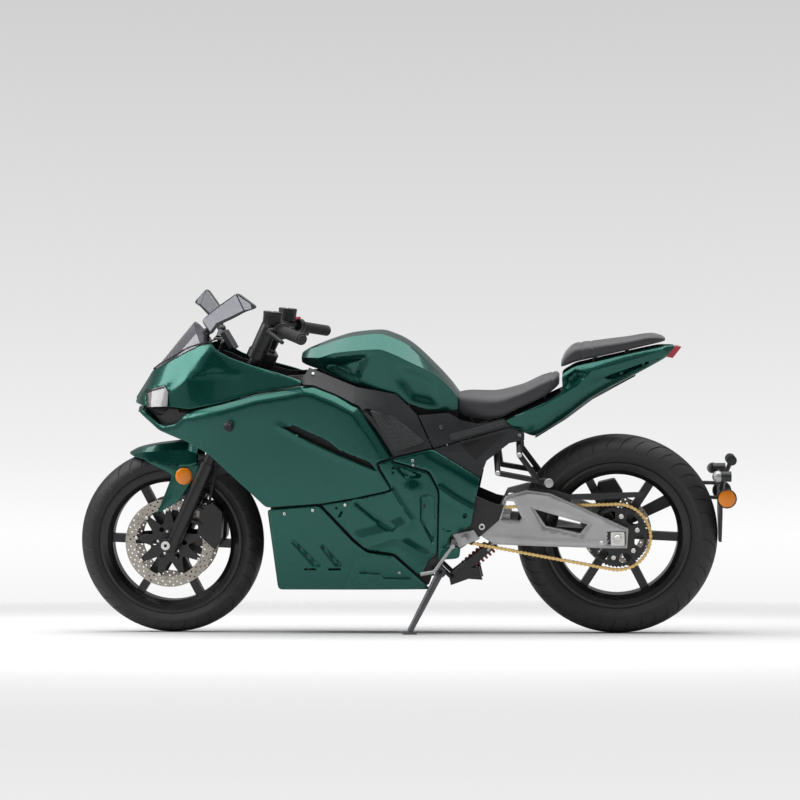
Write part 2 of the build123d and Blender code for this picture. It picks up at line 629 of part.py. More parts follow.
with BuildPart() as main_frame:
    add(bar(steer_point(LOWER_YOKE + 20), steer_point(UPPER_YOKE - 15), 30))
    with BuildSketch(Plane.XZ.offset(-26)):
        with BuildLine():
            Polyline(*FRONT_GUSSET, close=True)
        make_face()
    extrude(amount=52)
    add(bar((-325, -SPAR_OUT, 766), (-325, SPAR_OUT, 766), 22))
    for side in (-1, 1):
        for outline, near, far in ((SPAR, SPAR_IN, SPAR_OUT), (KNEE, SPAR_IN, PLATE_OUT),
                                   (PIVOT_PLATE, PLATE_OUT - PLATE_T, PLATE_OUT)):
            with BuildSketch(Plane.XZ.offset(far if side < 0 else -near)):
                with BuildLine():
                    Polyline(*outline, close=True)
                make_face()
            extrude(amount=near - far)
        add(bar((DOWN_TUBE_X, side * 104, 766), (DOWN_TUBE_X, side * RAIL_Y, RAIL_Z), RAIL_R))
        add(bar((DOWN_TUBE_X, side * RAIL_Y, RAIL_Z), (128, side * RAIL_Y, RAIL_Z), RAIL_R))
    for x, z in ((DOWN_TUBE_X, RAIL_Z), (128, 240)):
        add(bar((x, -SPAR_OUT, z), (x, SPAR_OUT, z), 14))
    for side in (-1, 1):
        add(bar((128, side * 51.5, 240), (190, side * 51.5, 180), 7))
    add(bar((146, -112, 240), stand_point(BOSS_T / 2 + 13), 12))
    add(bar(stand_point(BOSS_T / 2 + 22), stand_point(BOSS_T / 2 + FIT), 13))
    add(bar(stand_point(BOSS_T / 2 - 2), stand_point(-BOSS_T / 2 - 5), STAND_BOLT_R))
    add(bar((PIVOT_X, -PLATE_OUT, PIVOT_Z), (PIVOT_X, PLATE_OUT, PIVOT_Z), PIVOT_R - FIT))
    for x in (-30, 60):
        for side in (-1, 1):
            add(bar((x, side * 108, 640 if x > 0 else 690), (x, side * 108, TANK[x][0][1] + 12),
                    MOUNT_R))
    add(tank_cover.part.moved(Location((0, 0, -FIT))), mode=Mode.SUBTRACT)
    stay_x, stay_z = NOSE_STAY
    add(bar(steer_point(AXLE_ALONG + 585, 20), (stay_x, 0, stay_z), 12))
    nose_reach = inside(BODY, *NOSE_STAY)
    add(bar((stay_x, -nose_reach, stay_z), (stay_x, nose_reach, stay_z), MOUNT_R))
    add(bar((stay_x, 0, stay_z), tuple(dash_stub(16)), MOUNT_R))
    add(bar(tuple(dash_stub(22)), tuple(dash_stub(FIT)), MOUNT_R))
    for x, z, start, inset in ((-285, 758, SPAR_IN + 4, 0), (-92, 695, SPAR_IN + 4, 0),
                               (-250, RAIL_Z, RAIL_Y, 0), (0, RAIL_Z, RAIL_Y, 0),
                               (108, 420, SPAR_IN + 4, PANEL_INSET),
                               (196, 420, PLATE_OUT - 4, 0),
                               (20, 676, SPAR_IN + 4, PANEL_INSET)):
        for stub in panel_mount(x, z, start, inset):
            add(stub)
    add(bar(steer_point(LOWER_YOKE), steer_point(UPPER_YOKE + 40), STEM_R + FIT),
        mode=Mode.SUBTRACT)
main_frame.part.label = "main_frame"

with BuildPart() as battery_pack:
    with Locations((BATTERY_X, 0, BATTERY_Z + BATTERY[2] / 2)):
        Box(BATTERY[0], BATTERY[1], BATTERY[2])
    fillet(battery_pack.edges().filter_by(Axis.Z), 12)
battery_pack.part.label = "battery_pack"

with BuildPart() as drive_motor:
    add(bar((MOTOR_X, -MOTOR_HALF, MOTOR_Z), (MOTOR_X, MOTOR_HALF, MOTOR_Z), MOTOR_R))
    add(bar((MOTOR_X, MOTOR_HALF, MOTOR_Z), (MOTOR_X, SPAR_IN - FIT, MOTOR_Z), 40))
    add(bar((MOTOR_X, -MOTOR_HALF, MOTOR_Z), (MOTOR_X, -CHAIN_Y - 10, MOTOR_Z), 12))
    add(bar((MOTOR_X, -CHAIN_Y - 3, MOTOR_Z), (MOTOR_X, -CHAIN_Y + 3, MOTOR_Z),
            MOTOR_CHAIN_R - CHAIN_H - FIT))
drive_motor.part.label = "drive_motor"

RAIL_PATH = ((96, 78, 590), (300, 78, 652), (536, 74, 760), (834, 46, 884))
SUB_R = 11
UNDERTRAY_INSET = 8                        # undertray inside the tail's sections
UNDERTRAY_FLOOR = TAIL[630][0][1] + UNDERTRAY_INSET + SKIN + 1.2
TAIL_STUB_BACK = 0.2                       # extra seating clearance on the tail's slopes


def rail_at(x):
    """Distance out and height of the seat rail at one place along it."""
    for (x0, y0, z0), (x1, y1, z1) in zip(RAIL_PATH, RAIL_PATH[1:]):
        if x0 <= x <= x1:
            share = (x - x0) / (x1 - x0)
            return y0 + (y1 - y0) * share, z0 + (z1 - z0) * share
    return RAIL_PATH[-1][1:]


with BuildPart() as subframe:
    for side in (-1, 1):
        for (x0, y0, z0), (x1, y1, z1) in zip(RAIL_PATH, RAIL_PATH[1:]):
            add(bar((x0, side * y0, z0), (x1, side * y1, z1), SUB_R))
            with Locations((x1, side * y1, z1)):
                Sphere(SUB_R)
        add(bar((96, side * 78, 590), (96, side * (SPAR_IN - FIT), 590), SUB_R))
        add(bar((250, side * 78, 637), (150, side * 92, 520), 9))
    for x in (250, 484, 536, 630, 640, 740):
        y, z = rail_at(x)
        add(bar((x, -y, z), (x, y, z), 8))
    for seat, posts in ((RIDER_SEAT, ((250, 50), (484, 76))), (PILLION_SEAT, ((640, 60), (740, 55)))):
        for x, y in posts:
            for side in (-1, 1):
                add(bar((x, side * y, rail_at(x)[1]), (x, side * y, seat[x][0][1] + 12), 7))
    for side in (-1, 1):
        add(bar((630, side * 20, rail_at(630)[1]), (630, side * 20, UNDERTRAY_FLOOR + FIT), 6, 2))
        for x in (600, 800):
            y, z = rail_at(x)
            add(bar((x, side * y, z), (x, side * (inside(TAIL, x, z) - TAIL_STUB_BACK), z), MOUNT_R))
        add(bar((230, side * 72, 636), (230, side * (inside(BODY, 230, 640) - PANEL_INSET), 640),
                MOUNT_R))
        add(bar((216, side * 84, 596), (216, side * (inside(BODY, 216, 596) - PANEL_INSET), 596),
                MOUNT_R))
    for seat in (rider_seat, pillion_seat):
        add(seat.part.moved(Location((0, 0, -FIT))), mode=Mode.SUBTRACT)
subframe.part.label = "subframe"

# --- Bodywork -----------------------------------------------------------------------------


def body_shell(inset=0, sections=BODY, wall=SKIN):
    """The whole hollow shape of the body, drawn in by an inset."""
    with BuildPart() as shell:
        loft(cross_faces(sections, inset), ruled=True)
        loft(cross_faces(sections, inset + wall), ruled=True, mode=Mode.SUBTRACT)
    return shell.part


OUTER_SHELL = body_shell()
RECESSED_SHELL = body_shell(PANEL_INSET)


def pair_of(outline, shell=OUTER_SHELL, cuts=()):
    """A left panel, trimmed from a shell to its outline in side view, and its mirror image."""
    with BuildPart() as panels:
        add(shell)
        extrude(side_face(outline), amount=400, mode=Mode.INTERSECT)
        for cut in cuts:
            extrude(side_face(cut), amount=400, mode=Mode.SUBTRACT)
        mirror(about=Plane.XZ)
    return panels.part


BOBBIN, BOBBIN_R = (-487, 673), 13         # crash bobbin on each flank
with BuildPart() as side_fairings:
    add(pair_of(SIDE_OUTLINE, cuts=(VENT_OUTLINE,)))
    for side in (-1, 1):
        bobbin_x, bobbin_z = BOBBIN
        y = side * half_width(BODY, *BOBBIN)
        add(bar((bobbin_x, y - side * 2, bobbin_z), (bobbin_x, y + side * 34, bobbin_z), BOBBIN_R))
side_fairings.part.label = "side_fairings"

with BuildPart() as lower_cowls:
    add(pair_of(LOWER_OUTLINE))
lower_cowls.part.label = "lower_cowls"

with BuildPart() as inner_panels:
    add(pair_of(INNER_OUTLINE, RECESSED_SHELL))
inner_panels.part.label = "inner_panels"

with BuildPart() as rear_side_panels:
    add(pair_of(REAR_SIDE_OUTLINE))
rear_side_panels.part.label = "rear_side_panels"

with BuildPart() as frame_covers:
    add(pair_of(FRAME_COVER_OUTLINE, RECESSED_SHELL))
frame_covers.part.label = "frame_covers"

with BuildPart() as seat_side_covers:
    add(pair_of(SEAT_COVER_OUTLINE, RECESSED_SHELL))
seat_side_covers.part.label = "seat_side_covers"

with BuildPart() as side_covers:
    add(pair_of(SIDE_COVER_OUTLINE, RECESSED_SHELL))
side_covers.part.label = "side_covers"

with BuildPart() as nose_cowl:
    add(pair_of(NOSE_OUTLINE, cuts=(HEADLIGHT_OUTLINE,)))
nose_cowl.part.label = "nose_cowl"

with BuildPart() as headlights:
    add(pair_of(HEADLIGHT_OUTLINE, body_shell(2, wall=24)))
headlights.part.label = "headlights"

with BuildPart() as tail_cowl:
    add(body_shell(0, TAIL))
    extrude(side_face(TAIL_OUTLINE), amount=200, both=True, mode=Mode.INTERSECT)
tail_cowl.part.label = "tail_cowl"

with BuildPart() as tail_undertray:
    add(body_shell(UNDERTRAY_INSET, TAIL))
    extrude(side_face(UNDERTRAY_OUTLINE), amount=200, both=True, mode=Mode.INTERSECT)
tail_undertray.part.label = "tail_undertray"

TAIL_LIGHT = ((890.5, 905.5), (908, 900), (880, 864), (859, 868))
with BuildPart() as tail_light:
    with BuildSketch(Plane.XZ.offset(-25)):
        with BuildLine():
            Polyline(*TAIL_LIGHT, close=True)
        make_face()
    extrude(amount=50)
tail_light.part.label = "tail_light"

SCREEN = (((-748, 843), (-738, 845.4), 46), ((-706, 891), (-691, 869.8), 86),
          ((-665, 940), (-641, 895.6), 104), ((-622, 990), (-584, 922.8), 119))
SCREEN_T = 3                               # wall at the crown
SCREEN_EDGE = 2.5                          # wall at the foot


def screen_face(crown, edge, half):
    """The half moon between the screen's edges at one station, drawn in its own plane."""
    drop = hypot(crown[0] - edge[0], crown[1] - edge[1])
    down = Vector(edge[0] - crown[0], 0, edge[1] - crown[1])
    plane = Plane(origin=(crown[0], 0, crown[1]), x_dir=(0, 1, 0), z_dir=Vector(0, 1, 0).cross(down))
    with BuildSketch(plane) as drawn:
        with BuildLine():
            ThreePointArc((-half, drop), (0, 0), (half, drop))
            ThreePointArc((half - SCREEN_EDGE, drop), (0, SCREEN_T), (SCREEN_EDGE - half, drop))
            Line((half, drop), (half - SCREEN_EDGE, drop))
            Line((SCREEN_EDGE - half, drop), (-half, drop))
        make_face()
    return drawn.sketch


with BuildPart() as windscreen:
    loft([screen_face(*station) for station in SCREEN], ruled=True)
windscreen.part.label = "windscreen"

DASH = (104, 14, 66)
with BuildPart() as dash_display:
    face = Plane(origin=tuple(DASH_AT), x_dir=(0, 1, 0), z_dir=tuple(DASH_DIR))
    with BuildSketch(face):
        RectangleRounded(DASH[0], DASH[2], 8)
    extrude(amount=DASH[1])
dash_display.part.label = "dash_display"

MIRROR_BLADE = ((-7, 41), (64, 89), (139, 132), (199, 83), (155, 70), (113, 50), (46, 23),
                (16, -10))
with BuildPart() as mirrors:
    for side in (-1, 1):
        base = (-566, side * 116, 932)
        knee = (-560, side * 150, 962)
        with Locations((-566, side * 116, 925.7 + FIT + 4)):
            Box(34, 28, 8)
        add(bar(base, knee, 10))
        with Locations(knee):
            Sphere(13)
        along = (0.90, side * 0.34, 0.0) if side < 0 else (-0.66, 0.75, 0.0)
        with BuildSketch(Plane(origin=knee, x_dir=along,
                               z_dir=Vector(*along).cross(Vector(0, side * 0.42, 1)))):
            with BuildLine():
                Polyline(*MIRROR_BLADE, close=True)
            make_face()
        extrude(amount=5, both=True)
mirrors.part.label = "mirrors"

# --- Rear end -----------------------------------------------------------------------------

SPOOL, SPOOL_R, SPOOL_DEPTH = (656, 301), 5, 20
LINK_TOP, LINK_PIVOT, LINK_HEEL = (300, 268), (190, 180), (268, 193)
LINK_LUG_Y = 51.5
ARM_OUTLINE = (
    (266, 336), (290, 318), (326, 296), (394, 293), (601, 286), (660, 284), (734, 284), (738, 343),
    (602, 406), (496, 454), (425, 463), (360, 446), (330, 384), (282, 386), (264, 364),
)
ARM_SLOT = ((449, 406), (614, 358), (590, 329), (484, 353))
ARM_NOTCH = ((364, 432), (386, 430), (410, 378), (402, 368), (348, 374))
with BuildPart() as swingarm:
    for side in (-1, 1):
        with BuildSketch(Plane.XZ.offset(ARM_OUT if side < 0 else ARM_T - ARM_OUT)):
            with BuildLine():
                Polyline(*ARM_OUTLINE, close=True)
            make_face()
            with BuildLine():
                Polyline(*ARM_SLOT, close=True)
            make_face(mode=Mode.SUBTRACT)
            with BuildLine():
                Polyline(*ARM_NOTCH, close=True)
            make_face(mode=Mode.SUBTRACT)
            with Locations((PIVOT_X, PIVOT_Z)):
                Circle(PIVOT_R, mode=Mode.SUBTRACT)
            with Locations(AXLE_B):
                Circle(AXLE_R + FIT, mode=Mode.SUBTRACT)
        extrude(amount=-ARM_T)
    with BuildSketch(Plane.XZ.offset(ARM_T - ARM_OUT - 1)):
        with BuildLine():
            Polyline((322, 306), (370, 306), (374, 388), (350, 388), (322, 350), close=True)
        make_face()
    extrude(amount=2 * (ARM_OUT - ARM_T + 1))
    for side in (-1, 1):
        add(bar((332, side * LINK_LUG_Y, 314), (LINK_TOP[0], side * LINK_LUG_Y, LINK_TOP[1]), 7))
        with BuildSketch(Plane.XZ.offset(ARM_OUT if side < 0 else SPOOL_DEPTH - ARM_OUT)):
            with Locations(SPOOL):
                Circle(SPOOL_R)
        extrude(amount=-SPOOL_DEPTH, mode=Mode.SUBTRACT)
swingarm.part.label = "swingarm"

with BuildPart() as rear_axle:
    add(bar((REAR_X, -ARM_OUT - 12, AXLE_B[1]), (REAR_X, ARM_OUT + 12, AXLE_B[1]), AXLE_R))
    for side in (-1, 1):
        with BuildSketch(Plane.XZ.offset(ARM_OUT + 8 if side < 0 else -ARM_OUT - FIT)):
            with Locations(AXLE_B):
                RectangleRounded(42, 42, 4)
        extrude(amount=FIT - 8)
        inner = ARM_OUT - ARM_T - FIT
        add(ring(AXLE_B, AXLE_R + 6, AXLE_R - 1, *sorted((side * inner,
                                                         side * (HUB_HALF + FIT)))))
rear_axle.part.label = "rear_axle"

with BuildPart() as drive_chain:
    for shrink in (0, CHAIN_H):
        with BuildSketch(Plane.XZ.offset(CHAIN_Y - CHAIN_W / 2)):
            with Locations(AXLE_B):
                Circle(REAR_CHAIN_R - shrink)
            with Locations((MOTOR_X, MOTOR_Z)):
                Circle(MOTOR_CHAIN_R - shrink)
            make_hull()
        extrude(amount=CHAIN_W, mode=Mode.SUBTRACT if shrink else Mode.ADD)
drive_chain.part.label = "drive_chain"

GUARD = ((430, 468), (520, 461), (555, 449), (750, 455), (791, 455), (779, 440), (626, 430),
         (562, 434), (560, 408), (532, 418), (526, 436), (500, 450), (430, 458))
with BuildPart() as chain_guard:
    add(plate(GUARD, ARM_OUT - ARM_T - FIT - 3, ARM_OUT - ARM_T - FIT))
chain_guard.part.label = "chain_guard"

LINK_STRUT = ((178, 190), (186, 166), (200, 170), (312, 264), (306, 280), (290, 276))
LINK_PLATE = ((178, 188), (184, 156), (240, 176), (283, 173), (274, 214), (206, 206))
SHOCK_LOW, SHOCK_HIGH = (214, 194), (334, 296)
with BuildPart() as rear_suspension_link:
    for y in (44, -28):
        for outline in (LINK_STRUT, LINK_PLATE):
            extrude(side_face(outline, y), amount=-16)
    for x, z in (LINK_PIVOT, LINK_HEEL):
        add(bar((x, -44, z), (x, 44, z), 7))
rear_suspension_link.part.label = "rear_suspension_link"

shock_run = (Vector(SHOCK_HIGH[0], 0, SHOCK_HIGH[1]) - Vector(SHOCK_LOW[0], 0, SHOCK_LOW[1]))
with BuildPart() as rear_shock:
    low_eye, high_eye = (SHOCK_LOW[0], 0, SHOCK_LOW[1]), (SHOCK_HIGH[0], 0, SHOCK_HIGH[1])
    add(bar(low_eye, high_eye, 8))
    add(bar(tuple(Vector(*low_eye) + shock_run.normalized() * 20),
            tuple(Vector(*high_eye) - shock_run.normalized() * 26), 24))
    for x, z in (SHOCK_LOW, SHOCK_HIGH):
        add(bar((x, -28 + FIT, z), (x, 28 - FIT, z), 9))
rear_shock.part.label = "rear_shock"

with BuildPart() as rider_footrests:
    for side in (-1, 1):
        add(bar((236, side * 150, 320), (236, side * 232, 322), 11))
        with BuildSketch(Plane.XZ.offset(150 if side < 0 else -PLATE_OUT - FIT)):
            with BuildLine():
                Polyline((197, 330), (220, 292), (280, 316), (262, 344), close=True)
            make_face()
        extrude(amount=PLATE_OUT + FIT - 150)
        add(bar((100, side * 200, 214), (141, side * 200, 221), 6))
        add(bar((141, side * 200, 221), (200, side * 200, 300), 5))
        add(bar((200, side * 146, 312), (200, side * 206, 300), 7))
rider_footrests.part.label = "rider_footrests"

with BuildPart() as passenger_footrests:
    for side in (-1, 1):
        for start, end in (((338, 520), (478, 494)), ((405, 576), (466, 492))):
            add(bar((start[0], side * 140, start[1]), (end[0], side * 150, end[1]), 9))
        add(bar((478, side * 150, 494), (496, side * 226, 497), 12))
        add(bar((338, side * 140, 520), (330, side * 90, 600), 9))
        add(bar((405, side * 140, 576), (400, side * 76, 680), 9))
passenger_footrests.part.label = "passenger_footrests"

CALIPER_R = ((640, 430), (648, 470), (700, 482), (726, 440), (716, 408), (664, 404))
with BuildPart() as rear_caliper:
    add(caliper(CALIPER_R, AXLE_B, REAR_DISC_R, -DISC_Y))
    add(plate(((640, 440), (690, 440), (720, 330), (720, 296), (690, 296), (676, 330)),
              -94, -84))
    with BuildSketch(Plane.XZ.offset(-98)):
        with Locations(AXLE_B):
            Circle(AXLE_R + 6 + FIT)
    extrude(amount=40, mode=Mode.SUBTRACT)
rear_caliper.part.label = "rear_caliper"

PLATE_HOLES, PLATE_HOLE_Z, PLATE_HOLE_R = 100, 448, 3
with BuildPart() as plate_carrier:
    add(plate(((690, 330), (724, 296), (760, 330), (972, 428), (966, 466), (940, 462)),
              -(ARM_OUT + 14), -(ARM_OUT + 8 + FIT)))
    for z in (470, 424):
        add(bar((956, ARM_OUT + 11, z - 10), (1026, 20, z), 6))
    with BuildSketch(Plane.YZ.offset(1022)):
        with BuildLine():
            Polyline((-75, 470), (75, 470), (70, 380), (26, 290), (-26, 290), (-70, 380),
                     close=True)
        make_face()
    extrude(amount=8)
    for side in (-1, 1):
        add(bar((1028, side * 60, 458), (1030, side * 132, 505), 8))
        add(bar((1012, side * 132, 506), (1052, side * 132, 506), 16))
        add(bar((1030, side * 66, 436), (1040, side * 112, 436), 6))
        add(bar((1040, side * 110, 436), (1040, side * 118, 436), 29))
    add(bar((1028, 0, 466), (1060, 0, 540), 7))
    add(bar((1060, -38, 546), (1060, 38, 546), 14))
    with BuildSketch(Plane.XZ.offset(-ARM_OUT)):
        with Locations(AXLE_B):
            Circle(AXLE_R + FIT)
    extrude(amount=-30, mode=Mode.SUBTRACT)
    with BuildSketch(Plane.YZ.offset(1015)):
        with Locations((-PLATE_HOLES / 2, PLATE_HOLE_Z), (PLATE_HOLES / 2, PLATE_HOLE_Z)):
            Circle(PLATE_HOLE_R)
    extrude(amount=30, mode=Mode.SUBTRACT)
plate_carrier.part.label = "plate_carrier"

# --- Side stand ---------------------------------------------------------------------------

CROWN_RADIUS = REAR_TYRE_W / 2 * (1 + CROWN_DEPTH ** 2) / (2 * CROWN_DEPTH)
CROWN_DROP = CROWN_RADIUS * (1 - cos(radians(LEAN)))


def ground_height(y):
    """Height of the ground in the upright machine's frame, at a distance to the left."""
    return (-y * sin(radians(LEAN)) - CROWN_DROP) / cos(radians(LEAN))


foot_x, foot_y = STAND_FOOT
foot_z = ground_height(foot_y)
GROUND_UP = Vector(0, sin(radians(LEAN)), cos(radians(LEAN)))
with BuildPart() as side_stand:
    hinge = Vector(*STAND_PIVOT)
    ankle = Vector(foot_x, foot_y, foot_z) + GROUND_UP * 10
    add(bar(tuple(hinge), tuple(ankle), STAND_R + 1, STAND_R - 2))
    with BuildSketch(Plane(origin=(foot_x, foot_y, foot_z), x_dir=(1, 0, 0),
                           z_dir=GROUND_UP)):
        RectangleRounded(44, 30, 8)
    extrude(amount=7)
    add(bar(stand_point(BOSS_T / 2), stand_point(-BOSS_T / 2), BOSS_R))
    add(bar(stand_point(BOSS_T), stand_point(-BOSS_T), STAND_BOLT_R + FIT), mode=Mode.SUBTRACT)
side_stand.part.label = "side_stand"

# --- Lean the machine onto its stand and write it -----------------------------------------

CHASSIS = [main_frame, subframe, battery_pack, drive_motor, nose_cowl, headlights, windscreen,
           dash_display, mirrors, side_fairings, lower_cowls, inner_panels, rear_side_panels,
           frame_covers, tank_cover, rider_seat, pillion_seat, seat_side_covers, side_covers,
           tail_cowl, tail_light, tail_undertray, swingarm, rear_axle, drive_chain, chain_guard,
           rear_suspension_link, rear_shock, rider_footrests, passenger_footrests, plate_carrier,
           rear_caliper]
REAR_WHEEL = [rear_rim, rear_tyre, rear_sprocket, rear_brake_disc]
PIECES = CHASSIS + REAR_WHEEL + STEERED + [side_stand]

LEANED = Location((0, 0, 0), (LEAN, 0, 0))
boxes = [piece.part.moved(LEANED).bounding_box() for piece in PIECES]
low = [min(tuple(box.min)[i] for box in boxes) for i in range(3)]
high = [max(tuple(box.max)[i] for box in boxes) for i in range(3)]
origin = (-(low[0] + high[0]) / 2, -(low[1] + high[1]) / 2, -low[2])
print("size", [round(b - a, 3) for a, b in zip(low, high)])
print("origin shift", [round(v, 4) for v in origin])
PARKED = Location(origin, (LEAN, 0, 0))

os.makedirs("parts", exist_ok=True)
for piece in PIECES:
    piece.part.locate(PARKED)
    export_step(piece.part, f"parts/{piece.part.label}.step")
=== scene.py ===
# %% [markdown]
# # An electric sport motorcycle, dressed for a studio
# The construction model gives every shape that carries load. This script lays the finish over it:
# painted panels, tyres with tread, seats, a chain of real links, glass and small hardware.
# It starts by loading the frame.

# %% Load the frame
from math import asin, atan2, cos, hypot, pi, radians, sin

import bmesh
import bpy
from mathutils import Matrix, Vector
from mathutils.geometry import delaunay_2d_cdt


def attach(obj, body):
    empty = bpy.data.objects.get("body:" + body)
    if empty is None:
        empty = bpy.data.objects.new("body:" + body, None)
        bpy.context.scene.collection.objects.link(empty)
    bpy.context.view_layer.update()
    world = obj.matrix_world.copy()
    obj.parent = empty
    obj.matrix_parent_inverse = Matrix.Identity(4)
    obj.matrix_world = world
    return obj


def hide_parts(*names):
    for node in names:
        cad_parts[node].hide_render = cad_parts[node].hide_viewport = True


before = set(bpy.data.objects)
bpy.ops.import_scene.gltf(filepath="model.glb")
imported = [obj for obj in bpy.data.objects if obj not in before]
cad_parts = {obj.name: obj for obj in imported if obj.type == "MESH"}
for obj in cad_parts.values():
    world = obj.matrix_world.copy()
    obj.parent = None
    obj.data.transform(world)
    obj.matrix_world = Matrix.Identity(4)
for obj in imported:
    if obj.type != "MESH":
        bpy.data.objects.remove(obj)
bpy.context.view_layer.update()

# %% [markdown]
# A motorcycle is designed upright and then leaned on its stand. All shapes below are written in
# upright millimetres: x to the tail, y to the right, z up. One function leans them into place.

# %% From the upright machine to the parked one
LEAN = radians(8.0)
SHIFT = (-38.0, 131.9246, 0.7124)
PARK_TURN = Matrix.Rotation(LEAN, 3, "X")
FRONT_HUB, REAR_HUB = (-705, 293), (705, 314)


def parked(x, y, z):
    """Upright millimetres to the parked machine's metres."""
    return Vector(((x + SHIFT[0]) / 1000,
                   (y * cos(LEAN) - z * sin(LEAN) + SHIFT[1]) / 1000,
                   (y * sin(LEAN) + z * cos(LEAN) + SHIFT[2]) / 1000))


print("front hub", [round(v, 3) for v in parked(FRONT_HUB[0], 0, FRONT_HUB[1])])

# %% [markdown]
# The camera stands seven metres away at knee height with a long lens, so that the side is drawn
# almost without perspective. It is made first, because everything is judged through it.

# %% Camera
CAMERA_AT = (0.5317, -6.8464, 0.2507)
TILT_UP, TURN_LEFT = 3.984, 4.515
FOCAL_LENGTH, SENSOR_WIDTH, CLIP_END = 98.74, 36.0, 60.0


def in_scene(name, data):
    """An object that carries some data, linked to the scene."""
    made = bpy.data.objects.new(name, data)
    bpy.context.collection.objects.link(made)
    return made


lens = bpy.data.cameras.new("studio_camera")
lens.lens, lens.sensor_width, lens.clip_end = FOCAL_LENGTH, SENSOR_WIDTH, CLIP_END
camera = in_scene("studio_camera", lens)
camera.location = CAMERA_AT
camera.rotation_euler = (radians(90 + TILT_UP), 0, radians(TURN_LEFT))
bpy.context.scene.camera = camera
bpy.context.scene.view_settings.view_transform = "Standard"
print("camera at", tuple(round(v, 3) for v in camera.location))

# %% [markdown]
# Every finish is a small network of nodes. A few helpers make, fill and join nodes, so that the
# cells below read as lists of what each node does.

# %% Helpers for node trees
def filled(made, **values):
    """Fills a node's named inputs and settings; an underscore stands for a space in a name."""
    for key, value in values.items():
        label = key.replace("_", " ")
        if label in made.inputs:
            made.inputs[label].default_value = value
        else:
            setattr(made, key, value)
    return made


def node(tree, kind, **values):
    """A new node, filled in."""
    return filled(tree.nodes.new(kind), **values)


def wire(tree, source, output, target, given):
    """Joins one node's output to another node's input."""
    tree.links.new(source.outputs[output], target.inputs[given])


def principled(material):
    """A material's Principled shader."""
    return next(made for made in material.node_tree.nodes if made.type == "BSDF_PRINCIPLED")


def new_material(name, **values):
    """A node material with its tree and its Principled shader, filled in."""
    made = bpy.data.materials.new(name)
    made.use_nodes = True
    return made, made.node_tree, filled(principled(made), **values)


def shades(tree, source, output, stops):
    """A colour ramp fed by a node, with (place, grey or colour) stops."""
    ramp = node(tree, "ShaderNodeValToRGB")
    elements = ramp.color_ramp.elements
    while len(elements) < len(stops):
        elements.new(0.5)
    for element, (at, colour) in zip(elements, stops):
        element.position = at
        element.color = (*([colour] * 3 if isinstance(colour, float) else colour), 1)
    wire(tree, source, output, ramp, "Fac")
    return ramp


print("node helpers ready")

# %% [markdown]
# A studio is a pale floor that runs into a pale wall. The wall's brightness changes with height,
# and reflections see it dimmer than the camera does, so that it doesn't wash out the paint.

# %% Wall
WALL_STOPS = [(0.0, 0.88), (0.22, 0.93), (0.30, 0.99), (0.40, 0.88), (0.58, 0.78), (1.0, 0.62)]
WALL_LOW, WALL_HIGH = -0.1, 0.26
DIFFUSE_STRENGTH, GLOSSY_STRENGTH = 0.26, 0.50
world = bpy.data.worlds.new("studio_wall")
world.use_nodes = True
bpy.context.scene.world = world
sky = world.node_tree
background = sky.nodes["Background"]
height = node(sky, "ShaderNodeSeparateXYZ")
wire(sky, node(sky, "ShaderNodeTexCoord"), "Generated", height, 0)
rise = node(sky, "ShaderNodeMapRange", From_Min=WALL_LOW, From_Max=WALL_HIGH)
wire(sky, height, "Z", rise, "Value")
wire(sky, shades(sky, rise, "Result", WALL_STOPS), "Color", background, "Color")
seen = node(sky, "ShaderNodeLightPath")
direct = node(sky, "ShaderNodeMath", operation="MAXIMUM")
wire(sky, seen, "Is Camera Ray", direct, 0)
wire(sky, seen, "Is Transmission Ray", direct, 1)
shiny = node(sky, "ShaderNodeMapRange", To_Min=DIFFUSE_STRENGTH, To_Max=GLOSSY_STRENGTH)
wire(sky, seen, "Is Glossy Ray", shiny, "Value")
strength = node(sky, "ShaderNodeMath", operation="MAXIMUM")
wire(sky, shiny, "Result", strength, 0)
wire(sky, direct, "Value", strength, 1)
wire(sky, strength, "Value", background, "Strength")
print("wall nodes", len(sky.nodes))

# %% [markdown]
# The floor is a wide disc. It fades out with distance so that no horizon shows. Seen by the camera,
# it carries painted light that grows away from the machine, which leaves painted shade near it.

# %% Floor
FLOOR_RADIUS, FADE_FROM, FADE_TO = 9.0, 1.7, 5.0
# Strength and reach of the floor's painted light, none near the machine, as painted shade.
PAINTED_FLOOR_LIGHT, PAINTED_LIGHT_FROM, PAINTED_LIGHT_TO = 0.27, 0.35, 1.5


def drawn(name, made):
    """A drawn mesh as an object in the scene."""
    mesh = bpy.data.meshes.new(name)
    made.to_mesh(mesh)
    made.free()
    return in_scene(name, mesh)


fan = bmesh.new()
bmesh.ops.create_circle(fan, cap_ends=True, radius=FLOOR_RADIUS, segments=96)
floor = drawn("studio_floor", fan)
floor_paint, tree, shader = new_material(
    "floor_paint", Base_Color=(0.80, 0.80, 0.80, 1), Emission_Color=(1, 1, 1, 1), Roughness=0.9,
    Specular_IOR_Level=0.1)
spot = node(tree, "ShaderNodeTexCoord")
reach = node(tree, "ShaderNodeVectorMath", operation="LENGTH")
wire(tree, spot, "Object", reach, 0)
fade = node(tree, "ShaderNodeMapRange", From_Min=FADE_FROM, From_Max=FADE_TO)
wire(tree, reach, "Value", fade, "Value")
squeeze = node(tree, "ShaderNodeMapping", Scale=(0.5, 1.0, 1.0))
wire(tree, spot, "Object", squeeze, "Vector")
around = node(tree, "ShaderNodeVectorMath", operation="LENGTH")
wire(tree, squeeze, "Vector", around, 0)
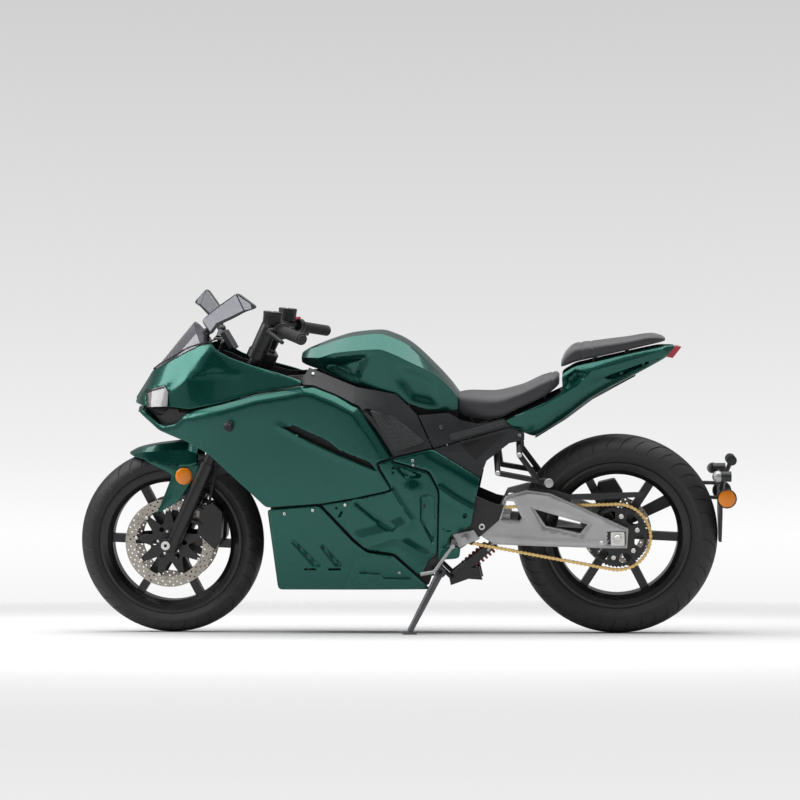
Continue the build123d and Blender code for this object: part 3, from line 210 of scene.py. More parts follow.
# Painted light: camera rays see the floor brighter away from the machine, painted shade beside it.
paler = node(tree, "ShaderNodeMapRange", From_Min=PAINTED_LIGHT_FROM, From_Max=PAINTED_LIGHT_TO, To_Min=0.0,
             To_Max=PAINTED_FLOOR_LIGHT)
wire(tree, around, "Value", paler, "Value")
painted_light_strength = node(tree, "ShaderNodeMath", operation="MULTIPLY")
wire(tree, node(tree, "ShaderNodeLightPath"), "Is Camera Ray", painted_light_strength, 0)
wire(tree, paler, "Result", painted_light_strength, 1)
wire(tree, painted_light_strength, "Value", shader, "Emission Strength")
faded = node(tree, "ShaderNodeMixShader")
wire(tree, fade, "Result", faded, "Fac")
wire(tree, shader, 0, faded, 1)
wire(tree, node(tree, "ShaderNodeBsdfTransparent"), 0, faded, 2)
wire(tree, faded, 0, tree.nodes["Material Output"], "Surface")
floor.data.materials.append(floor_paint)
print("floor radius", FLOOR_RADIUS, "m")

# %% [markdown]
# A wide soft lamp hangs above: it draws the long bright bands on the upper panels. A smaller one
# fills the nose. Behind the camera hangs a dark cloth that only reflections see, and it keeps the
# flank's colour deep.

# %% Lamps and dark flag
FLAG_CORNERS = [(-7, -9.5, 0.35), (8, -9.5, 0.35), (8, -9.5, 3.6), (-7, -9.5, 3.6)]


def soft_lamp(name, at, aim, size, power):
    """A rectangular soft lamp that looks at a point."""
    light = bpy.data.lights.new(name, "AREA")
    light.shape, light.size, light.size_y, light.energy = "RECTANGLE", size[0], size[1], power
    lamp = in_scene(name, light)
    lamp.location = at
    lamp.rotation_euler = (Vector(aim) - Vector(at)).to_track_quat("-Z", "Y").to_euler()


flag = in_scene("dark_flag", bpy.data.meshes.new("dark_flag"))
flag.data.from_pydata(FLAG_CORNERS, [], [(0, 1, 2, 3)])
flag_cloth, _, _ = new_material("flag_cloth", Base_Color=(0.03, 0.03, 0.03, 1), Roughness=1.0)
flag.data.materials.append(flag_cloth)
flag.visible_camera = flag.visible_diffuse = flag.visible_shadow = False
soft_lamp("ceiling_softbox", at=(0.0, -0.2, 3.2), aim=(0, 0, 0), size=(5.0, 3.6), power=158)
soft_lamp("front_fill", at=(-2.9, -0.7, 2.1), aim=(-0.7, -0.1, 0.85), size=(1.5, 1.5), power=34)
print("studio lamps", len(bpy.data.lights))

# %% [markdown]
# Paint, plastic, rubber and cast metal all carry the same two marks of use: a fine grain that
# scatters light, and soft patches where dust or wiping changed the gloss. Each is one node group.

# %% Shared finish groups
def noise_group(name, inputs, outputs, **noise):
    """A node group round a noise on Object coordinates; its last output is the noise itself."""
    made = bpy.data.node_groups.new(name, "ShaderNodeTree")
    for label, value in inputs:
        socket = made.interface.new_socket(label, in_out="INPUT", socket_type="NodeSocketFloat")
        socket.default_value = value
    for label, kind in outputs:
        made.interface.new_socket(label, in_out="OUTPUT", socket_type="NodeSocket" + kind)
    given, result = node(made, "NodeGroupInput"), node(made, "NodeGroupOutput")
    spots = node(made, "ShaderNodeTexNoise", **noise)
    wire(made, node(made, "ShaderNodeTexCoord"), "Object", spots, "Vector")
    wire(made, given, "Scale", spots, "Scale")
    wire(made, spots, "Fac", result, outputs[-1][0])
    return made, given, result, spots


fine_grain, given, result, spots = noise_group(
    "fine_grain", [("Scale", 900.0), ("Depth", 0.1)], [("Normal", "Vector"), ("Mask", "Float")],
    Detail=3.0, Roughness=0.6)
grain_bump = node(fine_grain, "ShaderNodeBump", Distance=0.0004)
wire(fine_grain, given, "Depth", grain_bump, "Strength")
wire(fine_grain, spots, "Fac", grain_bump, "Height")
wire(fine_grain, grain_bump, "Normal", result, "Normal")

wiped_dust, given, result, spots = noise_group(
    "wiped_dust", [("Low", 0.3), ("High", 0.45), ("Scale", 7.0)],
    [("Roughness", "Float"), ("Patches", "Float")], Detail=5.0, Roughness=0.55)
gloss = node(wiped_dust, "ShaderNodeMapRange", From_Min=0.35, From_Max=0.65)
wire(wiped_dust, spots, "Fac", gloss, "Value")
wire(wiped_dust, given, "Low", gloss, "To Min")
wire(wiped_dust, given, "High", gloss, "To Max")
wire(wiped_dust, gloss, "Result", result, "Roughness")
print("finish groups", [made.name for made in bpy.data.node_groups])

# %% [markdown]
# One maker serves every plain finish. Its numbers are a colour, the gloss where it was wiped and
# where dust lies, and the grain's size and depth. Real colour is never even, so a small tint
# makes the dusty patches a little paler.

# %% One maker for every finish
def worn(tree, shader, grain, depth, low, high, patch):
    """Puts both finish groups into a material, for its normal and its roughness."""
    bumps = node(tree, "ShaderNodeGroup", node_tree=fine_grain, Scale=grain, Depth=depth)
    wear = node(tree, "ShaderNodeGroup", node_tree=wiped_dust, Low=low, High=high, Scale=patch)
    wire(tree, wear, "Roughness", shader, "Roughness")
    wire(tree, bumps, "Normal", shader, "Normal")
    return bumps, wear


def finish(name, colour, low, high, metallic=0.0, grain=900.0, depth=0.1, tint=0.12, coat=0.0):
    """A material whose colour varies a little, with grain and patches of wear."""
    made, tree, shader = new_material(name, Metallic=metallic, Coat_Weight=coat,
                                      Coat_Roughness=0.03)
    wear = worn(tree, shader, grain, depth, low, high, 7.0)[1]
    paler = tuple(min(1.0, part * (1 + tint) + 0.004) for part in colour)
    darker = tuple(part * (1 - tint) for part in colour)
    wire(tree, shades(tree, wear, "Patches", [(0.35, darker), (0.65, paler)]), "Color",
         shader, "Base Color")
    return made


black_frame = finish("black_frame_enamel", (0.009, 0.009, 0.010), 0.26, 0.40, 0, 1500, 0.12)
black_plastic = finish("moulded_black_plastic", (0.020, 0.021, 0.023), 0.36, 0.48, 0, 1100, 0.25)
rim_black = finish("wheel_black", (0.007, 0.007, 0.008), 0.22, 0.34, 0, 700, 0.08)
cast_silver = finish("cast_aluminium", (0.44, 0.44, 0.445), 0.36, 0.46, 0.75, 900, 0.2)
bright_steel = finish("bright_steel", (0.66, 0.65, 0.63), 0.2, 0.32, 1.0, 1800)
disc_steel = finish("brake_steel", (0.42, 0.385, 0.34), 0.32, 0.45, 0.85, 2200, 0.3)
battery_grey = finish("battery_case", (0.05, 0.05, 0.055), 0.5, 0.6)
grip_rubber = finish("grip_rubber", (0.022, 0.022, 0.024), 0.55, 0.7, 0, 500, 0.5)
chain_gold = finish("chain_gold", (0.72, 0.50, 0.20), 0.22, 0.36, 0.9, 1200)
amber_lens = finish("amber_lens", (0.98, 0.27, 0.004), 0.16, 0.24, coat=0.3, depth=0.02, tint=0.05)
red_lens = finish("red_lens", (0.55, 0.03, 0.05), 0.1, 0.16, coat=1.0, depth=0.02, tint=0.05)
red_spring = finish("spring_red", (0.30, 0.012, 0.015), 0.25, 0.35)
stand_grey = finish("stand_grey", (0.13, 0.13, 0.14), 0.3, 0.4, 0.5, 900, 0.15)
# Near black: the rubber of the screen seals, and painted shade in the lamp pocket and behind the
# seams.
rubber_and_painted_shade = finish("rubber_and_painted_shade", (0.01, 0.011, 0.011), 0.5, 0.6)
print("finishes", len(bpy.data.materials))

# %% [markdown]
# The body colour is a metallic lacquer: small bright flakes in a deep green base, under a clear
# coat. The flakes tilt at random, so the base catches light from many sides and glows at its
# edges, while the coat on top keeps one sharp reflection. Noise stands in for the flakes.

# %% The green lacquer
FLAKES = [(0.3, (0.001, 0.044, 0.033)), (0.52, (0.003, 0.080, 0.061)), (0.7, (0.010, 0.17, 0.135))]
green_paint, tree, shader = new_material("green_metallic_lacquer", Metallic=0.72,
                                         Coat_Weight=0.45, Coat_Roughness=0.02)
bumps = worn(tree, shader, 3200, 0.12, 0.24, 0.30, 4.0)[0]
wire(tree, shades(tree, bumps, "Mask", FLAKES), "Color", shader, "Base Color")
print("paint", green_paint.name)

# %% [markdown]
# A fairing is drawn as half sections: how far out the skin stands at each height. Between the
# sections the skin must flow without a break, so the tables are joined with a curve that never
# overshoots its points. The same rule serves along the machine and up each section.

# %% A curve that keeps to its points
def flow(places, values, at):
    """Joins values smoothly, without overshoot, and reads the curve at one place."""
    last = len(places) - 1
    if at <= places[0]:
        return values[0]
    if at >= places[last]:
        return values[last]
    k = next(i for i in range(last) if at <= places[i + 1])
    steps = [places[i + 1] - places[i] for i in range(last)]
    slopes = [(values[i + 1] - values[i]) / steps[i] for i in range(last)]

    def tangent(i):
        if i == 0 or i == last:
            return slopes[0 if i == 0 else -1]
        before, after = slopes[i - 1], slopes[i]
        if before * after <= 0:
            return 0.0
        w1, w2 = 2 * steps[i] + steps[i - 1], steps[i] + 2 * steps[i - 1]
        return (w1 + w2) / (w1 / before + w2 / after)

    h, t = steps[k], (at - places[k]) / steps[k]
    return ((1 + 2 * t) * (1 - t) ** 2 * values[k] + t * (1 - t) ** 2 * h * tangent(k)
            + t * t * (3 - 2 * t) * values[k + 1] + t * t * (t - 1) * h * tangent(k + 1))


def section_at(table, x):
    """The half section of a table at one station, as (y, z) pairs."""
    stations = sorted(table)
    count = len(table[stations[0]])
    return [tuple(flow(stations, [table[s][k][part] for s in stations], x) for part in (0, 1))
            for k in range(count)]


def skin_out(table, x, z, rounded=True):
    """How far out the skin stands at one place in side view."""
    half = section_at(table, x)
    heights = [pair[1] for pair in half]
    widths = [pair[0] for pair in half]
    if rounded:
        return flow(heights, widths, z)
    if z <= heights[0]:
        return widths[0]
    for (y0, z0), (y1, z1) in zip(half, half[1:]):
        if z <= z1:
            return y0 + (y1 - y0) * (z - z0) / (z1 - z0)
    return widths[-1]


print("half way up a slope of one", flow((0, 2, 4), (0.0, 2.0, 4.0), 1.0))

# %% [markdown]
# These are the half sections, each from its lowest point to its highest one, as (out, up) pairs:
# the fairing's and the nose's every 40 to 130 mm, and the tail's.

# %% Half sections of the fairing, the nose and the tail
BODY = {
    -815: ((6, 640), (10, 670), (14, 690), (18, 706), (24, 722), (20, 735), (8, 742)),
    -784: ((20, 600), (40, 640), (56, 670), (70, 692), (80, 724), (64, 760), (12, 790)),
    -745: ((40, 500), (60, 560), (80, 620), (98, 680), (118, 727), (98, 782), (40, 846)),
    -690: ((60, 300), (90, 420), (112, 540), (134, 655), (150, 730), (128, 806), (84, 874)),
    -600: ((100, 163), (128, 300), (150, 450), (172, 610), (186, 726), (158, 820), (118, 936)),
    -500: ((130, 163), (160, 300), (178, 450), (194, 610), (207, 746), (178, 838), (142, 936)),
    -380: ((150, 163), (168, 300), (186, 450), (201, 620), (214, 777), (186, 848), (160, 900)),
    -250: ((152, 163), (172, 300), (190, 450), (204, 640), (213, 797), (184, 832), (154, 880)),
    -100: ((152, 163), (172, 300), (190, 450), (203, 600), (205, 730), (176, 775), (148, 830)),
    30: ((148, 163), (170, 300), (183, 450), (187, 530), (184, 590), (164, 690), (140, 790)),
    150: ((140, 163), (164, 300), (173, 430), (173, 520), (169, 590), (152, 680), (134, 760)),
    300: ((130, 163), (150, 300), (158, 420), (158, 510), (155, 580), (146, 670), (126, 760)),
    420: ((120, 163), (140, 300), (148, 420), (150, 510), (148, 600), (138, 690), (120, 780)),
}
NOSE = {
    -815: ((24, 724), (22, 733), (18, 738), (8, 742)),
    -784: ((80, 724), (70, 750), (56, 770), (16, 792)),
    -745: ((114, 727), (106, 757), (96, 787), (48, 845)),
    -690: ((140, 729), (134, 770), (126, 803), (84, 876)),
    -614: ((168, 724), (156, 822), (136, 859), (108, 915)),
    -546: ((182, 735), (158, 838), (150, 902), (138, 930)),
    -493: ((189, 748), (164, 836), (158, 862), (150, 890)),
    -428: ((195, 768), (174, 832), (170, 846), (163, 866)),
    -333: ((198, 784), (186, 818), (183, 826), (176, 838)),
    -263: ((197, 798), (190, 808), (188, 811), (184, 815)),
}
TAIL = {
    340: ((60, 600), (118, 640), (128, 668), (124, 720), (96, 760)),
    450: ((56, 610), (108, 650), (124, 690), (124, 748), (100, 790)),
    540: ((50, 664), (96, 700), (116, 742), (118, 800), (98, 842)),
    630: ((44, 730), (84, 756), (106, 790), (108, 838), (92, 868)),
    760: ((36, 800), (66, 822), (84, 846), (86, 876), (76, 898)),
    860: ((24, 850), (44, 866), (56, 880), (58, 896), (52, 908)),
    910: ((10, 888), (20, 893), (27, 898), (28, 904), (24, 910)),
}


def body_out(x, z):
    """The fairing's skin."""
    return skin_out(BODY, x, z)


def recessed_out(x, z):
    """The covers between fairing and tank, sunk behind the fairing's skin."""
    return body_out(x, z) - 10


def nose_out(x, z):
    """The nose's skin, flat from crease to crease."""
    return skin_out(NOSE, x, z, rounded=False)


def tail_out(x, z):
    """The tail's skin."""
    return skin_out(TAIL, x, z)


print("skin at the shoulder", round(body_out(-400, 775), 1), "mm")

# %% [markdown]
# A moulded panel has a trimmed outline, rolled edges, styling creases and recesses. Seen from the
# side it is a height field, so it is meshed flat: the outline, the crease lines and a grid of
# points are triangulated together, each point is pushed out to the skin, and the features below
# add or take a few millimetres near their lines.

# %% Features of a moulded panel
def off_line(x, z, line):
    """The distance from a point to a polyline."""
    best = 1e9
    for (x0, z0), (x1, z1) in zip(line, line[1:]):
        run = (x1 - x0) ** 2 + (z1 - z0) ** 2
        t = max(0.0, min(1.0, ((x - x0) * (x1 - x0) + (z - z0) * (z1 - z0)) / run))
        best = min(best, hypot(x - x0 - t * (x1 - x0), z - z0 - t * (z1 - z0)))
    return best


def inside(x, z, shape):
    """Whether a point lies inside a closed outline."""
    hit = False
    for (x0, z0), (x1, z1) in zip(shape, shape[1:] + shape[:1]):
        if (z0 > z) != (z1 > z) and x < x0 + (z - z0) / (z1 - z0) * (x1 - x0):
            hit = not hit
    return hit


def roll(line, width, depth):
    """An edge that curls inwards."""
    return None, lambda x, z: -depth * max(0.0, 1 - off_line(x, z, line) / width) ** 1.5


def crease(line, width, height):
    """A sharp ridge (or, when negative, a valley) along a line."""
    return line, lambda x, z: height * max(0.0, 1 - off_line(x, z, line) / width)


def recess(shape, depth, wall=5.0):
    """A sunk area with sloped walls."""
    closed = list(shape) + [shape[0]]

    def sink(x, z):
        if not inside(x, z, list(shape)):
            return 0.0
        return -depth * min(1.0, off_line(x, z, closed) / wall)
    return closed, sink


def guide(line):
    """A line that the mesh follows, with no height of its own."""
    return line, lambda x, z: 0.0


def circle(x, z, radius, count=48, turn=0.0):
    """Points round a circle in side view."""
    return [(x + radius * cos(turn + 2 * pi * k / count),
             z + radius * sin(turn + 2 * pi * k / count)) for k in range(count)]


print("recess in a square, 3 mm in", recess([(0, 0), (9, 0), (9, 9), (0, 9)], 2, 6)[1](3, 4.5))

# %% [markdown]
# The outline is first made dense and its corners are rounded, as trimming and sanding would do.
# Rows of points just inside it let the edge turn in as a small quarter round.

# %% Meshing one panel
def spaced(line, step, closed=False):
    """A polyline with more points, none further apart than a step."""
    made = []
    ends = list(line) + ([line[0]] if closed else [])
    for (x0, z0), (x1, z1) in zip(ends, ends[1:]):
        parts = max(1, int(hypot(x1 - x0, z1 - z0) // step))
        made += [(x0 + (x1 - x0) * k / parts, z0 + (z1 - z0) * k / parts) for k in range(parts)]
    return made if closed else made + [ends[-1]]


def softened(shape, keep=0.18, times=2):
    """A closed outline with its corners cut a little, again and again, until they are round."""
    points = list(shape)
    for _ in range(times):
        cut = []
        for (x0, z0), (x1, z1) in zip(points, points[1:] + points[:1]):
            length = hypot(x1 - x0, z1 - z0)
            share = min(keep, 7.0 / max(length, 1e-6))
            cut += [(x0 + (x1 - x0) * share, z0 + (z1 - z0) * share),
                    (x1 + (x0 - x1) * share, z1 + (z0 - z1) * share)]
        points = cut
    return points


def drawn_in(loop, by):
    """A closed outline moved inwards (outwards when negative), corner by corner."""
    turning = sum(x0 * z1 - x1 * z0 for (x0, z0), (x1, z1) in zip(loop, loop[1:] + loop[:1]))
    side = 1.0 if turning > 0 else -1.0
    made = []
    for before, (x, z), after in zip(loop[-1:] + loop[:-1], loop, loop[1:] + loop[:1]):
        ax, az = x - before[0], z - before[1]
        bx, bz = after[0] - x, after[1] - z
        al, bl = hypot(ax, az) or 1.0, hypot(bx, bz) or 1.0
        nx, nz = -az / al - bz / bl, ax / al + bx / bl
        size = hypot(nx, nz) or 1.0
        stretch = min(1.6, 2.0 / size)
        made.append((x + side * nx / size * by * stretch, z + side * nz / size * by * stretch))
    return made


def fold(x, z, loop, radius):
    """How far an edge turns in, as a quarter round beside its outline."""
    away = off_line(x, z, loop)
    if away >= radius:
        return 0.0
    return radius - (radius ** 2 - (radius - away) ** 2) ** 0.5


def triangles(points, edges, outline, holes, near):
    """The corners of a triangulation, and its triangles inside an outline and outside its holes."""
    flat = delaunay_2d_cdt([Vector(p) for p in points], edges, [], 0, near)
    corners = [tuple(p) for p in flat[0]]
    keep = []
    for tri in flat[2]:
        x, z = (sum(corners[k][part] for k in tri) / 3 for part in (0, 1))
        if inside(x, z, outline) and not any(inside(x, z, hole) for hole in holes):
            keep.append(tri)
    return corners, keep


def panel_mesh(name, outline, out, features=(), holes=(), step=9.0, wall=3.5, sides=(-1, 1),
               round_corners=True, turn=3.0, rows=()):
    """A thin panel, drawn in side view and pushed out to its skin, on both sides."""
    edge = spaced(softened(outline) if round_corners else outline, step, closed=True)
    points, edges = [], []

    def ring(line, closed):
        first = len(points)
        points.extend(line)
        edges.extend((first + k, first + k + 1) for k in range(len(line) - 1))
        if closed:
            edges.append((first + len(line) - 1, first))

    ring(edge, True)
    cuts = [spaced(hole, step, closed=True) for hole in holes]
    for cut in cuts:
        ring(cut, True)
    loops = [line + [line[0]] for line in [edge] + cuts]
    for line, way in [(edge, 1)] + [(cut, -1) for cut in cuts]:
        for by in (turn * 0.3, turn, *rows):
            points.extend(p for p in drawn_in(line, way * by)
                          if min(off_line(*p, near) for near in loops) > by * 0.8)
    lines = [feature[0] for feature in features if feature[0]]
    for line in lines:
        kept = [p for p in spaced(line, step)
                if min(off_line(*p, near) for near in loops) > turn * 1.2]
        if len(kept) > 1:
            ring(kept, False)
    xs, zs = [p[0] for p in edge], [p[1] for p in edge]
    loop = edge + [edge[0]]
    margin = max((turn, *rows)) + step * 0.35
    row, z = 0, min(zs)
    while z < max(zs):
        x = min(xs) + (row % 2) * step / 2
        while x < max(xs):
            if inside(x, z, edge) and off_line(x, z, loop) > margin and all(
                    off_line(x, z, line) > step * 0.35 for line in lines):
                points.append((x, z))
            x += step
        z += step * 0.87
        row += 1
    corners, keep = triangles(points, edges, edge, cuts, 1e-4)
    heights = [out(x, z) + sum(feature[1](x, z) for feature in features)
               - min(turn, sum(fold(x, z, near, turn) for near in loops)) for x, z in corners]
    made = bmesh.new()
    for side in sides:
        verts = [made.verts.new(parked(x, side * y, z)) for (x, z), y in zip(corners, heights)]
        for tri in keep:
            a, b, c = (verts[k] for k in tri)
            if (b.co - a.co).cross(c.co - a.co).y * side < 0:
                a, b, c = a, c, b
            made.faces.new((a, b, c))
    bmesh.ops.delete(made, geom=[v for v in made.verts if not v.link_faces], context="VERTS")
    return finished(name, made, wall)


def smoothed(piece, sharp):
    """Smooth shading that keeps the edges sharper than an angle."""
    for face in piece.data.polygons:
        face.use_smooth = True
    piece.data.set_sharp_from_angle(angle=radians(sharp))
    return piece


def finished(name, made, wall=0.0, bevel=0.0, sharp=28.0):
    """Turns a drawn mesh into an object, with a wall thickness and eased edges."""
    piece = smoothed(drawn(name, made), sharp)
    if wall:
        thick = piece.modifiers.new("wall", "SOLIDIFY")
        thick.thickness, thick.offset = wall / 1000, -1
        thick.use_rim = True
    if bevel:
        ease = piece.modifiers.new("eased_edges", "BEVEL")
        ease.width, ease.segments, ease.limit_method = bevel / 1000, 2, "ANGLE"
        ease.angle_limit = radians(32)
    return piece


def dress(piece, body, material, replaces=()):
    """Gives a finished piece its material, its body and the node it stands for."""
    piece.data.materials.clear()
    piece.data.materials.append(material)
    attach(piece, body)
    if replaces:
        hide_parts(*([replaces] if isinstance(replaces, str) else replaces))
    return piece


def painted(name, outline, out, features, **more):
    """A green skin that stands for the construction node of its name."""
    skin = panel_mesh(name + "_skin", outline, out, features, **more)
    return dress(skin, "chassis", green_paint, name)


print("panel tools ready")

# %% [markdown]
# The side fairing is the largest panel. Its upper edge rolls in and catches the ceiling lamp as
# one long bright band, and a slanted vent is cut behind the crash bobbin.

# %% Side fairings
SIDE_OUTLINE = [
    (-798, 713), (-725, 655), (-617, 619), (-553, 583), (-526, 557), (-423, 462), (-378, 418),
    (-204, 431), (-109, 447), (11, 473), (-28, 539), (-34, 560), (17, 573), (-28, 647),
    (-88, 729), (-154, 765), (-225, 794), (-260, 797), (-305, 788), (-408, 771), (-511, 742),
    (-612, 721), (-630, 706), (-663, 678), (-712, 667), (-782, 718)]
VENT = [(-321, 669), (-283, 674), (-181, 627), (-145, 597), (-54, 561), (-34, 535),
        (-60, 546), (-150, 585), (-240, 628)]
TOP_EDGE = [(-612, 721), (-511, 742), (-408, 771), (-305, 788), (-260, 797), (-225, 794),
            (-154, 765), (-88, 729), (-28, 647), (14, 578)]
LIP = [(-782, 718), (-712, 667), (-663, 678), (-630, 706), (-612, 721)]
side_fairings = painted(
    "side_fairings", SIDE_OUTLINE, body_out,
    [roll(TOP_EDGE, 30, 23), roll(LIP, 16, 7),
     guide([(-321, 676), (-260, 655), (-181, 634), (-140, 606), (-40, 572)]),
     crease([(-330, 672), (-240, 622), (-150, 579), (-40, 533)], 16, 3.0)],
    holes=[VENT], step=8.5, rows=(7, 12, 18, 25))
print("side fairing faces", len(side_fairings.data.polygons))

# %% [markdown]
# The nose cowl has three bands: a lower flank, a narrow shoulder and a broad upper band beside
# the screen that looks up at the lamp. The bands meet in creases, so the half sections are read
# as straight lines here. The lamp units sit in a cut at its front.

# %% Nose cowl
NOSE_OUTLINE = [
    (-816, 737), (-784, 789), (-751, 838), (-654, 888), (-583, 922), (-545, 926), (-536, 910),
    (-493, 884), (-428, 862), (-333, 835), (-263, 812), (-263, 800), (-305, 791), (-408, 774),
    (-511, 745), (-612, 724), (-640, 726), (-684, 731), (-759, 728)]
HEADLIGHT = [(-771, 776), (-702, 795), (-686, 775), (-688, 732), (-760, 727)]
SHOULDER_AT = (-700, -660, -614, -580, -546, -493, -428, -350)
shoulder = [(x, section_at(NOSE, x)[2][1]) for x in SHOULDER_AT]
flank = [(x, section_at(NOSE, x)[1][1]) for x in (-612, -546, -493, -428, -350)]
nose_cowl = painted(
    "nose_cowl", NOSE_OUTLINE, nose_out,
    [guide(shoulder), guide(flank),
     crease([(-612, 823), (-538, 836), (-460, 828)], 14, -2.0)],
    holes=[HEADLIGHT], step=8.0)
print("nose faces", len(nose_cowl.data.polygons))

# %% [markdown]
# The tail cowl is a slim wedge under the pillion seat. A crease runs along its flank, a long slot
# is sunk below it, and a second hollow gives the hand a hold.

# %% Tail cowl
TAIL_OUTLINE = [
    (362, 683), (495, 741), (539, 768), (536, 822), (578, 848), (835, 905), (890, 906), (858, 868),
    (764, 817), (627, 746), (539, 680), (450, 627), (378, 661)]
TAIL_SLOT = [(666, 811), (693, 822), (830, 868), (806, 852), (699, 805), (677, 804)]
GRAB = [(545, 815), (578, 839), (617, 829), (604, 806), (545, 772)]
tail_cowl = painted(
    "tail_cowl", TAIL_OUTLINE, tail_out,
    [crease([(366, 684), (484, 728), (583, 786), (627, 831), (732, 858), (850, 892)], 22, 7),
     recess(TAIL_SLOT, 14, 4), recess(GRAB, 16, 12)], step=8.0)
print("tail faces", len(tail_cowl.data.polygons))

# %% [markdown]
# The lower cowls close the flank beside the battery. Slanted slots and shallow feet are pressed
# into them, so each is a recess with its own depth and wall.

# %% Lower cowls
LOWER_OUTLINE = [(-376, 412), (-350, 158), (128, 158), (84, 200), (13, 267), (-67, 277),
                 (-114, 315), (-213, 426)]
SLOTS = [[(-311, 316), (-290, 318), (-206, 231), (-237, 229), (-240, 233)],
         [(-220, 301), (-202, 303), (-138, 232), (-166, 229), (-170, 233)]]
FEET = [[(-272, 227), (-229, 227), (-225, 220), (-266, 220)],
        [(-196, 227), (-150, 227), (-144, 220), (-190, 220)]]
lower_cowls = painted(
    "lower_cowls", LOWER_OUTLINE, body_out,
    [roll([(-376, 412), (-350, 160)], 12, 9),
     crease([(-105, 284), (-110, 241), (-142, 160)], 3, -2.0),
     crease([(-105, 265), (18, 260)], 3, -1.5),
     crease([(-91, 214), (-27, 210), (-20, 197), (67, 196)], 5, -3.0)]
    + [recess(slot, 7, 9) for slot in SLOTS] + [recess(foot, 8, 2.5) for foot in FEET],
    step=7.5)
print("lower cowl faces", len(lower_cowls.data.polygons))

# %% [markdown]
# The inner panels stand a little further in, beside the motor. Broad folds stiffen the thin sheet,
# and each fold is a wide crease here.

# %% Inner panels
INNER_OUTLINE = [
    (-209, 427), (-109, 443), (15, 470), (-22, 539), (-28, 557), (16, 567), (12, 559), (125, 526),
    (155, 469), (149, 270), (126, 254), (102, 206), (88, 203), (16, 271), (-64, 281), (-110, 319)]
inner_panels = painted(
    "inner_panels", INNER_OUTLINE, lambda x, z: body_out(x, z) - 9,
    [crease([(-90, 318), (-38, 330), (29, 349), (72, 374), (76, 470)], 34, 8),
     crease([(-100, 434), (-46, 387), (10, 353)], 10, -5),
     crease([(12, 468), (40, 420), (72, 376)], 16, 5),
     recess([(14, 474), (22, 540), (54, 504), (104, 508), (108, 516), (46, 545), (12, 549)], 9, 7),
     recess([(98, 451), (97, 375), (118, 330), (140, 290), (143, 340), (144, 440), (130, 462)],
            8, 9),
     crease([(-76, 289), (24, 322), (118, 263)], 22, 7),
     recess([(-162, 421), (-150, 424), (-168, 398), (-176, 402)], 6, 2),
     recess([(-146, 409), (-136, 412), (-150, 380), (-158, 385)], 6, 2)],
    step=7.0)
print("inner panel faces", len(inner_panels.data.polygons))

# %% [markdown]
# The rear side panels run to the swingarm's pivot. A raised band, a round cover and a sunk hole
# are drawn with the same features as before.

# %% Rear side panels
REAR_SIDE_OUTLINE = [
    (20, 571), (138, 597), (284, 505), (281, 493), (269, 440), (256, 360), (223, 341), (189, 327),
    (189, 294), (222, 291), (217, 256), (152, 251), (152, 264), (159, 469), (129, 530), (16, 563)]
painted(
    "rear_side_panels", REAR_SIDE_OUTLINE, body_out,
    [roll([(142, 597), (284, 506)], 34, 9), crease([(162, 473), (204, 442), (269, 404)], 16, 6),
     recess(circle(185, 361, 21, 24), 1.6, 2), recess(circle(236, 390, 8, 12), 10, 2),
     crease([(152, 293), (220, 291)], 3, -1.5)], step=7.0)

# %% [markdown]
# The tank cover is one moulding over the battery: a broad lit top, a hard ridge along each flank
# and hollows for the knees. It is lofted from rings across the machine. Each ring runs from the
# left lower edge over the top to the right one, so both sides stay alike.

# %% A loft of rings
def bridged(made, rows, closed=True, caps=True):
    """Faces from row to row of equally many vertices, and over the first and the last row."""
    faces, count = [], len(rows[0])
    for first, second in zip(rows, rows[1:]):
        for k in range(count if closed else count - 1):
            n = (k + 1) % count
            faces.append(made.faces.new((first[k], second[k], second[n], first[n])))
    if caps:
        faces += [made.faces.new(rows[0]), made.faces.new(list(reversed(rows[-1])))]
    return faces


def ring_loft(rings, **ends):
    """A skin over rings of equally many points, from the front one to the rear one."""
    made = bmesh.new()
    bridged(made, [[made.verts.new(point) for point in ring] for ring in rings], **ends)
    bmesh.ops.recalc_face_normals(made, faces=made.faces)
    return made


def both_sides(x, points):
    """A whole ring from (y, z) points: up the left side, over, and down the right one."""
    return [parked(x, -y, z) for y, z in points] + [parked(x, y, z) for y, z in reversed(points)]


def half_ring(half, x, parts, extra=lambda x, z: 0.0):
    """A whole ring from a half section, with its stretches cut into parts."""
    points = []
    for (y0, z0), (y1, z1), count in zip(half, half[1:], parts):
        points += [(y0 + (y1 - y0) * k / count, z0 + (z1 - z0) * k / count) for k in range(count)]
    return both_sides(x, [(y + extra(x, z), z) for y, z in points + [half[-1]]])


print("loft tools ready")

# %% [markdown]
# The tank's table gives four points per ring: the lower edge, the ridge, the shoulder and the
# middle. The knee hollows are sunk into the flank between the first two.

# %% Tank cover
TANK = {
    -276: ((50, 862), (64, 876), (40, 890), (8, 893)),
    -262: ((72, 856), (90, 878), (56, 898), (10, 902)),
    -220: ((92, 842), (118, 878), (74, 912), (12, 920)),
    -165: ((106, 820), (134, 893), (82, 930), (13, 940)),
    -110: ((118, 800), (144, 899), (88, 943), (14, 954)),
    -30: ((122, 775), (148, 904), (92, 950), (15, 960)),
    20: ((120, 750), (145, 888), (88, 935), (15, 946)),
    60: ((116, 735), (140, 868), (82, 914), (14, 925)),
    140: ((102, 712), (122, 826), (70, 844), (12, 853)),
    190: ((92, 710), (108, 782), (60, 792), (9, 798)),
    214: ((84, 712), (94, 750), (54, 760), (8, 764)),
}
hollow_front = [(-196, 872), (-100, 889), (-48, 893), (-92, 800), (-124, 806), (-196, 846)]
hollow_rear = [(30, 858), (100, 838), (150, 808), (158, 722), (70, 742), (20, 806)]
